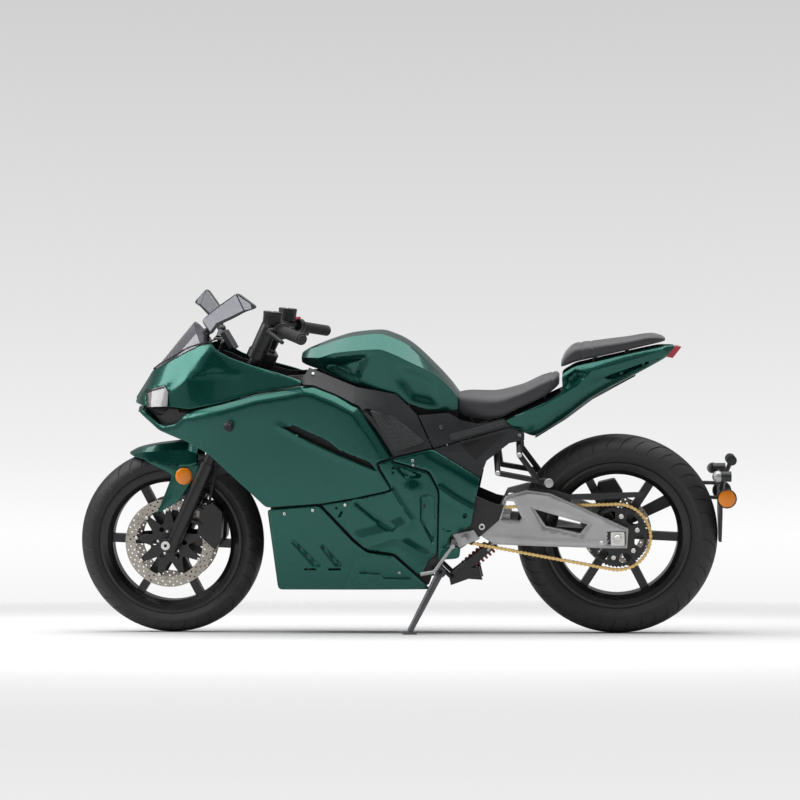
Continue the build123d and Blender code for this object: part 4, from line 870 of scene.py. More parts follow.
hollows = [recess(hollow_front, 17, 22), recess(hollow_rear, 12, 24)]


def knee_hollow(x, z):
    """How much the knee hollows take off the flank."""
    return sum(hollow[1](x, z) for hollow in hollows)


rings = [half_ring(section_at(TANK, x), x, (14, 6, 4), knee_hollow)
         for x in (-276, -270, -262, *range(-250, 215, 10), 214)]
tank_skin = finished("tank_cover_skin", ring_loft(rings), bevel=2.5, sharp=24)
dress(tank_skin, "chassis", green_paint, "tank_cover")
print("tank faces", len(tank_skin.data.polygons))

# %% [markdown]
# Two small skins close the front. The nose bridge joins the halves of the nose ahead of the
# screen, and the chin floor runs from lip to lip under the lamps. Both are open lofts with a wall.

# %% Nose bridge and chin floor
def front_skin(name, rings):
    """A thin green skin over open rings at the front of the machine."""
    skin = finished(name, ring_loft(rings, closed=False, caps=False), wall=2.5)
    return dress(skin, "chassis", green_paint)


rings = []
for x in (-812, -800, -786, -772, -758, -744):
    y, z = section_at(NOSE, x)[-1]
    rise = 6 * (-744 - x) / 68 + 1
    rings.append(half_ring([(y - 1, z - 0.5), (y * 0.6, z + rise * 0.7), (3, z + rise)], x, (4, 4)))
bridge = front_skin("nose_bridge", rings)
CHIN = ((-800, 44, 712), (-784, 72, 714), (-765, 88, 704), (-745, 98, 690), (-726, 108, 676),
        (-706, 118, 670), (-684, 130, 673), (-662, 142, 680), (-640, 150, 694))
chin = front_skin("chin_floor", [half_ring([(y, z - 3), (y * 0.55, z + 11), (3, z + 13)], x, (4, 4))
                                 for x, y, z in CHIN])
print("front closed", len(bridge.data.polygons), len(chin.data.polygons))

# %% [markdown]
# Seats are foam under a grained cover. Each is a crowned, closed form: the foam swells between
# its edges, the underside is flat, and the cover is gathered into seams. The rings below follow
# the seat's sections, and a sewn line is a narrow valley across the cover.

# %% Leather with grain
leather = finish("seat_leather", (0.036, 0.036, 0.040), 0.46, 0.58, grain=420, depth=0.55, tint=0.1)
tree, shader = leather.node_tree, principled(leather)
filled(shader, Sheen_Weight=0.45, Sheen_Roughness=0.4)
pores = node(tree, "ShaderNodeTexVoronoi", Scale=520.0)
wire(tree, node(tree, "ShaderNodeTexCoord"), "Object", pores, "Vector")
folds = node(tree, "ShaderNodeBump", Strength=0.35, Distance=0.0006)
wire(tree, pores, "Distance", folds, "Height")
wire(tree, folds, "Normal", shader, "Normal")
print("leather", leather.name)

# %% [markdown]
# A seat's half section runs from the flat underside round the foam's edge to the crown. Powers of
# sine and cosine draw it fuller than a plain ellipse, and both ends are drawn in a little.

# %% Seat covers
def seat_rings(table, step, seams, crown):
    """Rings of a padded seat: a rounded section, drawn in a little at each seam."""
    rings = []
    stations = sorted(table)
    x = stations[0]
    while x <= stations[-1]:
        (yb, zb), (ym, zm), (_, zt) = section_at(table, x)
        tuck = sum(2.6 * max(0.0, 1 - abs(x - seam) / 5.0) for seam in seams)
        ends = min(x - stations[0], stations[-1] - x)
        shrink = 1 - 0.10 * max(0.0, 1 - ends / 14) ** 2
        left = [(yb * k / 4 * 0.98, zb) for k in range(5)]
        for a in (k / 8 * pi / 2 for k in range(1, 9)):
            left.append((yb + (ym - yb) * sin(a) ** 0.8, zb + (zm - zb) * (1 - cos(a))))
        for a in (k / 12 * pi / 2 for k in range(1, 13)):
            left.append((ym * cos(a) ** 0.62, zm + (zt + crown - zm) * sin(a) ** 0.9))
        middle = (zb + zt) / 2
        points = [(y * shrink - (tuck if y > 4 else 0), middle + (z - middle) * shrink
                   - (tuck if z > middle else 0)) for y, z in left]
        rings.append([parked(x, -y, z) for y, z in points]
                     + [parked(x, y, z) for y, z in reversed(points[1:-1])])
        x += step
    return rings


RIDER_SEAT = {
    201: ((60, 712), (70, 734), (52, 754)),
    215: ((70, 703), (80, 733), (60, 761)),
    250: ((84, 690), (98, 728), (72, 766)),
    317: ((104, 684), (122, 724), (92, 764)),
    406: ((116, 720), (132, 754), (100, 781)),
    484: ((108, 756), (122, 789), (94, 814)),
    520: ((92, 782), (104, 803), (84, 822)),
    530: ((84, 792), (92, 805), (74, 816)),
}
PILLION_SEAT = {
    534: ((66, 842), (78, 850), (66, 858)),
    548: ((76, 847), (92, 866), (76, 886)),
    580: ((84, 859), (100, 887), (82, 911)),
    640: ((86, 872), (102, 897), (86, 919)),
    740: ((78, 894), (92, 913), (76, 931)),
    816: ((68, 911), (80, 926), (66, 941)),
    846: ((58, 918), (68, 925), (58, 934)),
    856: ((50, 921), (58, 925), (50, 929)),
}
for label, table, seams, node_name in (
        ("rider_seat_cover", RIDER_SEAT, (508,), "rider_seat"),
        ("pillion_seat_cover", PILLION_SEAT, (597, 628), "pillion_seat")):
    cover = finished(label, ring_loft(seat_rings(table, 3.0, seams, 1.5)), sharp=70)
    dress(cover, "chassis", leather, node_name)
    print(label, len(cover.data.polygons))

# %% [markdown]
# The front fender is a thin arch over the tyre with a pointed lip, and a blade on each side that
# runs down beside the fork leg and carries a reflector.

# %% Front fender
FENDER = {
    -836: ((9, 571), (11, 573), (6, 577), (1, 578)),
    -812: ((44, 564), (42, 575), (20, 587), (3, 591)),
    -785: ((63, 560), (60, 581), (29, 595), (4, 599)),
    -719: ((73, 543), (66, 585), (37, 606), (5, 610)),
    -650: ((74.5, 532), (68, 588), (39, 612), (5, 616)),
    -608: ((74.5, 545), (68, 576), (37, 598), (5, 603)),
}
rings = [half_ring(section_at(FENDER, x), x, (5, 5, 4)) for x in range(-836, -607, 6)]
arch = finished("front_fender_arch", ring_loft(rings, closed=False, caps=False), wall=3.0,
                sharp=26)
BLADE_OUT = 73.0
BLADE = [(-785, 560), (-700, 548), (-600, 546), (-612, 508), (-650, 458), (-664, 430),
         (-720, 398), (-744, 380), (-690, 510)]
blade = panel_mesh(
    "front_fender_blades", BLADE, lambda x, z: BLADE_OUT,
    [crease([(-760, 556), (-672, 520), (-690, 440), (-738, 384)], 26, 2.5)], step=7.0, wall=2.6)
dress(arch, "steering", green_paint, "front_fender")
dress(blade, "steering", green_paint, "front_fender")
print("fender", len(arch.data.polygons) + len(blade.data.polygons))

# %% [markdown]
# Much of a machine is cut from plate or turned on a lathe. Two small tools make such pieces: one
# gives thickness to an outline with holes, the other turns a profile round any axis.

# %% Plate and lathe tools
def flat_part(name, outline, holes, y_in, y_out, bevel=0.7, sides=(-1, 1)):
    """A plate in side view, from one distance out to another, with holes through it."""
    points, edges = [], []
    for line in [outline] + list(holes):
        first = len(points)
        points.extend(line)
        edges.extend((first + k, first + (k + 1) % len(line)) for k in range(len(line)))
    corners, keep = triangles(points, edges, outline, holes, 1e-5)
    made = bmesh.new()
    for side in sides:
        near = [made.verts.new(parked(x, side * y_in, z)) for x, z in corners]
        far = [made.verts.new(parked(x, side * y_out, z)) for x, z in corners]
        rim = {}
        for tri in keep:
            made.faces.new([near[k] for k in tri])
            made.faces.new([far[k] for k in reversed(tri)])
            for a, b in zip(tri, tri[1:] + tri[:1]):
                rim[frozenset((a, b))] = rim.get(frozenset((a, b)), 0) + 1
        for pair, count in rim.items():
            if count == 1:
                a, b = tuple(pair)
                made.faces.new((near[a], near[b], far[b], far[a]))
    bmesh.ops.delete(made, geom=[v for v in made.verts if not v.link_faces], context="VERTS")
    bmesh.ops.recalc_face_normals(made, faces=made.faces)
    return finished(name, made, bevel=bevel)


def turned(made, start, end, profile, count=32):
    """Adds a lathe shape to a mesh: (share of the way, radius) pairs from start to end."""
    a, b = Vector(start), Vector(end)
    along = (b - a).normalized()
    across = along.orthogonal().normalized()
    other = along.cross(across)
    rows = []
    for share, radius in profile:
        middle = a + (b - a) * share
        rows.append([made.verts.new(parked(*(middle + (across * cos(t) + other * sin(t)) * radius)))
                     for t in (2 * pi * k / count for k in range(count))])
    bmesh.ops.recalc_face_normals(made, faces=bridged(made, rows))
    return made


def mirrored(point, side):
    """A point on the right, or its twin on the left."""
    return Vector((point[0], side * point[1], point[2]))


def turned_pair(made, start, end, profile, count=32):
    """Adds a lathe shape on the right and its twin on the left."""
    for side in (-1, 1):
        turned(made, mirrored(start, side), mirrored(end, side), profile, count)
    return made


WEB = [(30, 700), (60, 684), (214, 690), (208, 738), (50, 752)]
tank_web = flat_part("under_tank_webs", WEB, [], 68, 71, bevel=0.5)
dress(tank_web, "chassis", black_plastic)
print("plate and lathe ready")

# %% [markdown]
# Things that repeat are left to Geometry Nodes. Each tree takes named inputs, sets copies on
# points or along a curve, joins them into one mesh and gives it its material. The result is then
# kept as a plain mesh.

# %% A tree and its result
def repeat_tree(name, sockets):
    """A geometry tree with named inputs, ready for its nodes."""
    tree = bpy.data.node_groups.new(name, "GeometryNodeTree")
    tree.interface.new_socket("Geometry", in_out="INPUT", socket_type="NodeSocketGeometry")
    tree.interface.new_socket("Geometry", in_out="OUTPUT", socket_type="NodeSocketGeometry")
    for label, kind in sockets:
        tree.interface.new_socket(label, in_out="INPUT", socket_type="NodeSocket" + kind)
    return tree, tree.nodes.new("NodeGroupInput"), tree.nodes.new("NodeGroupOutput")


def close_tree(tree, given, made, result):
    """Realizes a (node, output)'s copies, gives them their material and ends the tree."""
    real = node(tree, "GeometryNodeRealizeInstances")
    paint = node(tree, "GeometryNodeSetMaterial")
    wire(tree, *made, real, 0)
    wire(tree, real, 0, paint, "Geometry")
    wire(tree, given, "Finish", paint, "Material")
    wire(tree, paint, 0, result, 0)


def grown(name, tree, base, values):
    """Runs a tree over a base mesh and keeps what it makes as a plain mesh."""
    carrier = in_scene(name + "_base", base)
    work = carrier.modifiers.new("repeat", "NODES")
    work.node_group = tree
    for item in tree.interface.items_tree:
        if item.in_out == "INPUT" and item.name in values:
            work[item.identifier] = values[item.name]
    ready = carrier.evaluated_get(bpy.context.evaluated_depsgraph_get())
    mesh = bpy.data.meshes.new_from_object(ready)
    carrier.modifiers.remove(work)
    bpy.data.objects.remove(carrier)
    mesh.name = name
    return smoothed(in_scene(name, mesh), 35.0)


print("tree tools ready")

# %% [markdown]
# Screws are the small bright points that make panels look fixed. One tree sets a socket head on
# every point, turned along the point's own outward direction and scaled by its own size.

# %% Socket screws on points
screw_tree, given, result = repeat_tree(
    "screws_on_points", (("Head", "Object"), ("Size", "Float"), ("Finish", "Material")))
head_info = node(screw_tree, "GeometryNodeObjectInfo")
outward = node(screw_tree, "GeometryNodeInputNamedAttribute", data_type="FLOAT_VECTOR", Name="out")
sized = node(screw_tree, "GeometryNodeInputNamedAttribute", data_type="FLOAT", Name="size")
scaled = node(screw_tree, "ShaderNodeMath", operation="MULTIPLY")
aim = node(screw_tree, "FunctionNodeAlignRotationToVector", axis="Z")
copies = node(screw_tree, "GeometryNodeInstanceOnPoints")
wire(screw_tree, given, "Head", head_info, "Object")
wire(screw_tree, given, "Geometry", copies, "Points")
wire(screw_tree, head_info, "Geometry", copies, "Instance")
wire(screw_tree, outward, "Attribute", aim, "Vector")
wire(screw_tree, aim, "Rotation", copies, "Rotation")
wire(screw_tree, sized, "Attribute", scaled, 0)
wire(screw_tree, given, "Size", scaled, 1)
wire(screw_tree, scaled, 0, copies, "Scale")
close_tree(screw_tree, given, (copies, "Instances"), result)


def screw_head():
    """A unit socket head: rim, chamfer and a recess."""
    made = bmesh.new()
    profile = ((0.46, 0.2), (0.5, 0.62), (0.84, 0.62), (1.0, 0.45), (1.0, -0.4))
    bridged(made, [[made.verts.new((*corner, up)) for corner in circle(0, 0, radius, 12)]
                   for radius, up in profile])
    return drawn("screw_head", made)


def on_skin(out, x, z, side, lift=0.0):
    """A place on a skin and the direction straight out of it."""
    slope_x, slope_z = (out(x + 2, z) - out(x - 2, z)) / 4, (out(x, z + 2) - out(x, z - 2)) / 4
    away = Vector((-slope_x, side, -slope_z)).normalized()
    return parked(x, side * (out(x, z) + lift), z), (PARK_TURN @ away).normalized()


def from_side(x, y, z, own=1.0):
    """A screw that points straight out of the side on which it sits."""
    return parked(x, y, z), PARK_TURN @ Vector((0, 1 if y > 0 else -1, 0)), own


def screws(name, places, size, body, material):
    """Screws at (place, direction, size) triples, as one piece on one body."""
    base = bpy.data.meshes.new(name + "_points")
    base.from_pydata([tuple(place) for place, _, _ in places], [], [])
    base.attributes.new("out", "FLOAT_VECTOR", "POINT")
    base.attributes.new("size", "FLOAT", "POINT")
    for k, (_, direction, own) in enumerate(places):
        base.attributes["out"].data[k].vector = direction
        base.attributes["size"].data[k].value = own
    head = screw_head()
    made = grown(name, screw_tree, base, {"Head": head, "Size": size / 1000, "Finish": material})
    bpy.data.objects.remove(head)
    dress(made, body, material)


PANEL_SCREWS = (
    (-321, 399, body_out, 1), (-233, 410, body_out, 1), (78, 562, body_out, 1),
    (31, 212, body_out, 0.9), (79, 548, body_out, 0.8), (26, 624, recessed_out, 1),
    (-228, 832, recessed_out, 1), (164, 663, recessed_out, 1), (-132, 427, body_out, 1),
    (397, 694, tail_out, 1.1), (406, 636, recessed_out, 1))
panel_screws = [(*on_skin(out, x, z, side, -1.2), own)
                for side in (-1, 1) for x, z, out, own in PANEL_SCREWS]
screws("panel_screws", panel_screws, 4.6, "chassis", bright_steel)
print("panel screws", len(panel_screws))

# %% [markdown]
# A tyre is a ring of one cross section, so it can be swept by rule. The tread is cut into it: the
# columns of the mesh lie beside each groove, and the whole grid is sheared over the crown so that
# the grooves sweep from the middle to the shoulder, as they do to lead water away.

# %% Tyres with a cut tread
COLUMNS = [(0.0, 0), (0.012, 1), (0.055, 1), (0.067, 0), (0.16, 0), (0.26, 0), (0.36, 0), (0.46, 0),
           (0.5, 0), (0.511, 2), (0.547, 2), (0.558, 0), (0.66, 0), (0.76, 0), (0.86, 0), (0.93, 0)]
BEAD_TOP, BEAD_SEAT, LINING, TREAD_WALL = 225, 216.4, 227, 14


def tyre_profile(radius, width, rim_half):
    """(y, r, share of the crown) from the left bead over the tread to the right bead, and back."""
    half, drop = width / 2, 0.74 * width / 2
    crown_r = (half ** 2 + drop ** 2) / (2 * drop)
    reach = atan2(half, crown_r - drop)
    seat, shoulder = rim_half - 6.3, radius - drop
    right = [(crown_r * sin(reach * k / 14), radius - crown_r * (1 - cos(reach * k / 14)), k / 14)
             for k in range(15)]
    belly = (half + seat) / 2 + 4
    for k in range(1, 11):
        t = k / 10
        y = (1 - t) ** 2 * half + 2 * t * (1 - t) * (belly + 4) + t * t * seat
        r = (1 - t) * shoulder + t * BEAD_TOP
        rib = 0.9 if k in (2, 8) else (-0.5 if k == 5 else 0.0)
        right.append((y + rib, r, 2.0))
    right += [(seat - 5, BEAD_SEAT, 2.0), (seat - 16, BEAD_SEAT, 2.0), (seat - 13, LINING, 2.0)]
    inner = [(0.0, radius - TREAD_WALL, 2.0)]
    for a in (t * pi / 2 for t in (0.25, 0.5, 0.75)):
        inner.append(((seat - 13) * sin(a), LINING + (radius - TREAD_WALL - LINING) * cos(a), 2.0))
    left = [(-y, r, s) for y, r, s in right[1:]]
    inner_left = [(-y, r, s) for y, r, s in inner[1:]]
    return list(reversed(left)) + right + list(reversed(inner[1:])) + [inner[0]] + inner_left


def tyre_skin(name, axle, width, rim_half, pitches, sweep):
    """A tyre whose grooves are part of its mesh; it stands on the ground under its axle."""
    radius = axle[1]
    profile = tyre_profile(radius, width, rim_half)
    made = bmesh.new()
    columns = [(k + place, kind) for k in range(pitches) for place, kind in COLUMNS]
    rows = []
    for at, kind in columns:
        row = []
        for y, r, share in profile:
            swept = sweep * (1 - (1 - min(share, 1.0)) ** 2)
            angle = 2 * pi * at / pitches + swept / radius
            cut = 0.0
            if kind == 1 and 0.12 < share < 0.93:
                cut = 4.0
            elif kind == 2 and 0.42 < share < 1.0:
                cut = 3.2
            row.append(made.verts.new(parked(axle[0] + (r - cut) * cos(angle), y,
                                             axle[1] + (r - cut) * sin(angle))))
        rows.append(row)
    count = len(profile)
    for first, second in zip(rows, rows[1:] + rows[:1]):
        for k in range(count):
            n = (k + 1) % count
            made.faces.new((first[k], first[n], second[n], second[k]))
    bmesh.ops.recalc_face_normals(made, faces=made.faces)
    return finished(name, made, sharp=34)


tyre_rubber = finish("tyre_rubber", (0.017, 0.017, 0.018), 0.46, 0.62, 0, 650, 0.4)
front_tyre_skin = tyre_skin("front_tyre_tread", FRONT_HUB, 110, 42, 19, 70)
dress(front_tyre_skin, "front_wheel", tyre_rubber, "front_tyre")
rear_tyre_skin = tyre_skin("rear_tyre_tread", REAR_HUB, 140, 52, 20, 84)
dress(rear_tyre_skin, "rear_wheel", tyre_rubber, "rear_tyre")
print("tyre faces", len(front_tyre_skin.data.polygons), len(rear_tyre_skin.data.polygons))

# %% [markdown]
# A floating brake disc is a drilled steel ring held by buttons on a black carrier. The drilling
# clears water and dust, and it follows a rule: rows of holes, each row turned a little further.

# %% Brake discs
def drilled(axle, inner, outer, count):
    """The holes of a disc: slanted rows of three."""
    holes = []
    for k in range(count):
        for row, share in enumerate((0.2, 0.5, 0.8)):
            r = inner + (outer - inner) * share
            a = 2 * pi * k / count + row * 0.085
            holes.append(circle(axle[0] + r * cos(a), axle[1] + r * sin(a), 3.1, 8))
    return holes


def spider(axle, hub, tip, arms, width, turn):
    """The outline of a carrier with arms."""
    points = []
    for k in range(arms):
        middle = turn + 2 * pi * k / arms
        wide = width / 2
        for r, off in ((hub, -wide * 2.1), (tip - 12, -wide), (tip, -wide * 0.7), (tip, wide * 0.7),
                       (tip - 12, wide), (hub, wide * 2.1)):
            a = middle + off / r
            points.append((axle[0] + r * cos(a), axle[1] + r * sin(a)))
    return points


DISC_SPAN, CARRIER_SPAN = (59.6, 64.4), (54.4, 59.4)
disc_rings = flat_part("front_disc_rings", circle(*FRONT_HUB, 140, 120),
                       [circle(*FRONT_HUB, 107, 96)] + drilled(FRONT_HUB, 108, 140, 34),
                       *DISC_SPAN, bevel=0)
dress(disc_rings, "front_wheel", disc_steel, "front_brake_discs")
carriers = flat_part("front_disc_carriers", spider(FRONT_HUB, 62, 112, 9, 17, 0.2),
                     [circle(*FRONT_HUB, 30, 40)]
                     + [circle(x, z, 8, 14) for x, z in circle(*FRONT_HUB, 48, 6)],
                     *CARRIER_SPAN, bevel=0.8)
dress(carriers, "front_wheel", rim_black, "front_brake_discs")
rear_ring = flat_part("rear_disc_ring", circle(*REAR_HUB, 110, 100),
                      [circle(*REAR_HUB, 78, 72)] + drilled(REAR_HUB, 79, 110, 28),
                      *DISC_SPAN, bevel=0, sides=(1,))
dress(rear_ring, "rear_wheel", disc_steel, "rear_brake_disc")
rear_carrier = flat_part("rear_disc_carrier", spider(REAR_HUB, 48, 84, 6, 16, 0.2),
                         [circle(*REAR_HUB, 26, 36)], *CARRIER_SPAN, bevel=0.8, sides=(1,))
dress(rear_carrier, "rear_wheel", rim_black, "rear_brake_disc")
BUTTON_RINGS = ((64.2, 1.25, circle(*FRONT_HUB, 106, 9, 0.2)),
                (59.6, 1.0, circle(*FRONT_HUB, 37, 5, 0.5)))
buttons = [from_side(x, side * out, z, own)
           for side in (-1, 1) for out, own, ring in BUTTON_RINGS for x, z in ring]
screws("front_disc_buttons", buttons, 4.4, "front_wheel", bright_steel)
print("disc faces", len(disc_rings.data.polygons))

# %% [markdown]
# The chain is one link, copied along the line that wraps both sprockets. Wide and narrow links
# take turns, so two link shapes share the same points.

# %% Chain links
PITCH, PLATE_R, WAIST, PIN_R, PIN_HEAD = 12.7, 5.3, 2.9, 2.4, 0.9


def link_shape(name, spread, plate):
    """Two waisted side plates and a pin at each end."""
    made = bmesh.new()
    outline = []
    for end in (1, -1):
        for k in range(6):
            a = (-100 + 40 * k) * pi / 180 + (0 if end > 0 else pi)
            outline.append((end * PITCH / 2 + PLATE_R * cos(a), PLATE_R * sin(a)))
        outline.append((0.0, end * WAIST))

    def prism(shape, *ends):
        bridged(made, [[made.verts.new((x / 1000, y / 1000, z / 1000)) for x, z in shape]
                       for y in ends])

    for side in (-1, 1):
        prism(outline, side * spread, side * (spread + plate))
    reach = spread + plate + PIN_HEAD
    for end in (-1, 1):
        prism(circle(end * PITCH / 2, 0, PIN_R, 6), -reach, reach)
    bmesh.ops.recalc_face_normals(made, faces=made.faces)
    return drawn(name, made)


chain_tree, given, result = repeat_tree("links_along_a_loop", (
    ("Wide link", "Object"), ("Narrow link", "Object"), ("Links", "Int"), ("Finish", "Material")))
loop_curve = node(chain_tree, "GeometryNodeMeshToCurve")
even = node(chain_tree, "GeometryNodeResampleCurve", mode="COUNT")
wire(chain_tree, given, "Geometry", loop_curve, "Mesh")
wire(chain_tree, loop_curve, "Curve", even, "Curve")
wire(chain_tree, given, "Links", even, "Count")
turn = node(chain_tree, "FunctionNodeAlignRotationToVector", axis="X", pivot_axis="Y")
wire(chain_tree, node(chain_tree, "GeometryNodeInputTangent"), "Tangent", turn, "Vector")
odd = node(chain_tree, "ShaderNodeMath", operation="MODULO")
odd.inputs[1].default_value = 2
wire(chain_tree, node(chain_tree, "GeometryNodeInputIndex"), "Index", odd, 0)
flip = node(chain_tree, "ShaderNodeMath", operation="SUBTRACT")
flip.inputs[0].default_value = 1
wire(chain_tree, odd, 0, flip, 1)
both = node(chain_tree, "GeometryNodeJoinGeometry")
for label, chosen in (("Wide link", odd), ("Narrow link", flip)):
    info = node(chain_tree, "GeometryNodeObjectInfo")
    copies = node(chain_tree, "GeometryNodeInstanceOnPoints")
    wire(chain_tree, given, label, info, "Object")
    wire(chain_tree, even, "Curve", copies, "Points")
    wire(chain_tree, info, "Geometry", copies, "Instance")
    wire(chain_tree, chosen, 0, copies, "Selection")
    wire(chain_tree, turn, "Rotation", copies, "Rotation")
    wire(chain_tree, copies, "Instances", both, "Geometry")
close_tree(chain_tree, given, (both, "Geometry"), result)
print("chain tree nodes", len(chain_tree.nodes))

# %% [markdown]
# The line wraps two circles: an arc round each sprocket, joined by straight runs. The count of
# links is the even number nearest to the line's length, as a real chain closes on a pair.

# %% Chain line
MOTOR_HUB = (175, 357)
REAR_WRAP, MOTOR_WRAP, CHAIN_Y = 102.5, 46.5, 85
span = Vector((REAR_HUB[0] - MOTOR_HUB[0], REAR_HUB[1] - MOTOR_HUB[1]))
line_angle = atan2(span.y, span.x)
open_angle = pi / 2 + asin((REAR_WRAP - MOTOR_WRAP) / span.length)
wrap = []
for k in range(61):
    a = line_angle - open_angle + 2 * open_angle * k / 60
    wrap.append((REAR_HUB[0] + REAR_WRAP * cos(a), REAR_HUB[1] + REAR_WRAP * sin(a)))
for k in range(41):
    a = line_angle + open_angle + 2 * (pi - open_angle) * k / 40
    wrap.append((MOTOR_HUB[0] + MOTOR_WRAP * cos(a), MOTOR_HUB[1] + MOTOR_WRAP * sin(a)))
loop_length = sum(hypot(x1 - x0, z1 - z0) for (x0, z0), (x1, z1) in zip(wrap, wrap[1:] + wrap[:1]))
link_count = 2 * round(loop_length / PITCH / 2)
base = bpy.data.meshes.new("chain_line")
base.from_pydata([(x / 1000, -CHAIN_Y / 1000, z / 1000) for x, z in wrap],
                 [(k, (k + 1) % len(wrap)) for k in range(len(wrap))], [])
wide, narrow = link_shape("wide_link", 5.2, 1.5), link_shape("narrow_link", 3.2, 1.5)
chain = grown("drive_chain_links", chain_tree, base,
              {"Wide link": wide, "Narrow link": narrow, "Links": link_count, "Finish": chain_gold})
bpy.data.objects.remove(wide)
bpy.data.objects.remove(narrow)
chain.data.transform(Matrix.Translation(Vector(SHIFT) / 1000) @ PARK_TURN.to_4x4())
dress(chain, "chassis", chain_gold, "drive_chain")
print("links", link_count, "faces", len(chain.data.polygons))

# %% [markdown]
# The rear sprocket is a toothed plate with six windows, bolted to a spool on the wheel. A cosine
# round the rim makes soft teeth, which the chain hides for the most part.

# %% Rear sprocket
TEETH, PITCH_R, TOOTH = 51, 93.2, 2.2
teeth = []
for k in range(TEETH * 6):
    a = 2 * pi * k / (TEETH * 6)
    r = PITCH_R + TOOTH * cos(TEETH * a)
    teeth.append((REAR_HUB[0] + r * cos(a), REAR_HUB[1] + r * sin(a)))
windows = []
for k in range(6):
    middle = 2 * pi * k / 6 + 0.87
    windows.append([(REAR_HUB[0] + r * cos(middle + off), REAR_HUB[1] + r * sin(middle + off))
                    for r, off in ((58, -0.22), (78, -0.27), (83, -0.14), (83, 0.14), (78, 0.27),
                                   (58, 0.22), (54, 0.0))])
sprocket = flat_part("rear_sprocket_plate", teeth, windows + [circle(*REAR_HUB, 24, 32)],
                     82.2, 87.8, bevel=0.5, sides=(-1,))
dress(sprocket, "rear_wheel", black_frame, "rear_sprocket")
spool = finished("rear_sprocket_hub", turned(
    bmesh.new(), (REAR_HUB[0], -54.4, REAR_HUB[1]), (REAR_HUB[0], -82, REAR_HUB[1]),
    [(0, 30), (0.02, 32), (0.6, 32), (0.7, 44), (0.98, 44), (1, 43)], 40))
dress(spool, "rear_wheel", rim_black, "rear_sprocket")
sprocket_bolts = [from_side(x, -88.0, z) for x, z in circle(*REAR_HUB, 65, 6, 1.38)]
screws("rear_sprocket_bolts", sprocket_bolts, 8.0, "rear_wheel", bright_steel)
print("sprocket faces", len(sprocket.data.polygons))

# %% [markdown]
# The swingarm is a casting: its edges are rounded by the mould, and the slot sits in a sunk frame
# that keeps the wall even. A thin cast skin over the construction plate gives it those edges.

# %% Swingarm casting
ARM = [(268, 337), (290, 320), (326, 298), (394, 295), (601, 288), (660, 286), (732, 286),
       (735, 342), (601, 403), (496, 451), (426, 460), (362, 443), (332, 382), (284, 384),
       (267, 364)]
ARM_SLOT = [(449, 406), (614, 358), (590, 329), (484, 353)]
ARM_NOTCH = [(364, 432), (386, 430), (410, 378), (402, 368), (348, 374)]
SLOT_FRAME = [(432, 420), (520, 400), (632, 362), (600, 316), (474, 341)]
AXLE_POCKET = [(668, 340), (732, 340), (732, 292), (668, 292)]
arm_skin = panel_mesh(
    "swingarm_casting", ARM, lambda x, z: 127.6,
    [recess(SLOT_FRAME, 3.0, 5), recess(AXLE_POCKET, 2.6, 3),
     crease([(420, 456), (500, 446), (602, 398), (668, 368)], 12, 1.2),
     crease([(330, 318), (470, 306), (600, 302), (668, 302)], 10, 1.0)],
    holes=[ARM_SLOT, ARM_NOTCH, circle(287, 352, 12, 24), circle(705, 314, 9, 20)],
    step=7.0, wall=3.4, turn=5.0)
dress(arm_skin, "chassis", cast_silver)
pocket = flat_part("axle_pocket_liners", [(671, 338), (730, 338), (730, 294), (671, 294)],
                   [circle(705, 314, 9, 20)], 124.4, 125.6, bevel=0.3)
dress(pocket, "chassis", black_frame)
ARM_BOLTS = ((287, 352, 2.2, 128), (656, 301, 1.35, 128), (705, 314, 2.6, 136))
arm_bolts = [from_side(x, side * out, z, size)
             for side in (-1, 1) for x, z, size, out in ARM_BOLTS]
screws("swingarm_bolts", arm_bolts, 5.0, "chassis", bright_steel)
print("swingarm faces", len(arm_skin.data.polygons))

# %% [markdown]
# The rear spring is one rod wound round the damper. A spiral curve gives the winding and a small
# circle gives the rod.

# %% Rear spring and damper
spring_tree, given, result = repeat_tree("wound_spring", (
    ("Turns", "Float"), ("Coil radius", "Float"), ("Rod radius", "Float"), ("Length", "Float"),
    ("Finish", "Material")))
spiral = node(spring_tree, "GeometryNodeCurveSpiral", Resolution=28)
rod = node(spring_tree, "GeometryNodeCurvePrimitiveCircle", Resolution=10)
wound = node(spring_tree, "GeometryNodeCurveToMesh", Fill_Caps=True)
for label, socket in (("Turns", "Rotations"), ("Coil radius", "Start Radius"),
                      ("Coil radius", "End Radius"), ("Length", "Height")):
    wire(spring_tree, given, label, spiral, socket)
wire(spring_tree, given, "Rod radius", rod, "Radius")
wire(spring_tree, spiral, "Curve", wound, "Curve")
wire(spring_tree, rod, "Curve", wound, "Profile Curve")
close_tree(spring_tree, given, (wound, "Mesh"), result)

shock_low, shock_high = Vector((214, 0, 194)), Vector((334, 0, 296))
shock_way = (shock_high - shock_low).normalized()
spring = grown("rear_spring_coil", spring_tree, bpy.data.meshes.new("spring_seed"),
               {"Turns": 6.5, "Coil radius": 0.0205, "Rod radius": 0.0042, "Length": 0.096,
                "Finish": red_spring})
set_on = (Matrix.Translation(parked(*(shock_low + shock_way * 28)))
          @ (PARK_TURN @ shock_way.to_track_quat("Z", "Y").to_matrix()).to_4x4())
spring.data.transform(set_on)
dress(spring, "chassis", red_spring, "rear_shock")
damper = bmesh.new()
turned(damper, shock_low, shock_high,
       [(0, 9), (0.02, 10), (0.1, 10), (0.13, 22), (0.17, 24), (0.19, 15), (0.5, 14.5), (0.52, 11),
        (0.82, 11), (0.84, 24), (0.88, 23), (0.9, 10), (0.98, 10), (1, 9)], 28)
for end in (shock_low, shock_high):
    turned(damper, end + Vector((0, -27.6, 0)), end + Vector((0, 27.6, 0)),
           [(0, 8), (0.04, 9), (0.96, 9), (1, 8)], 20)
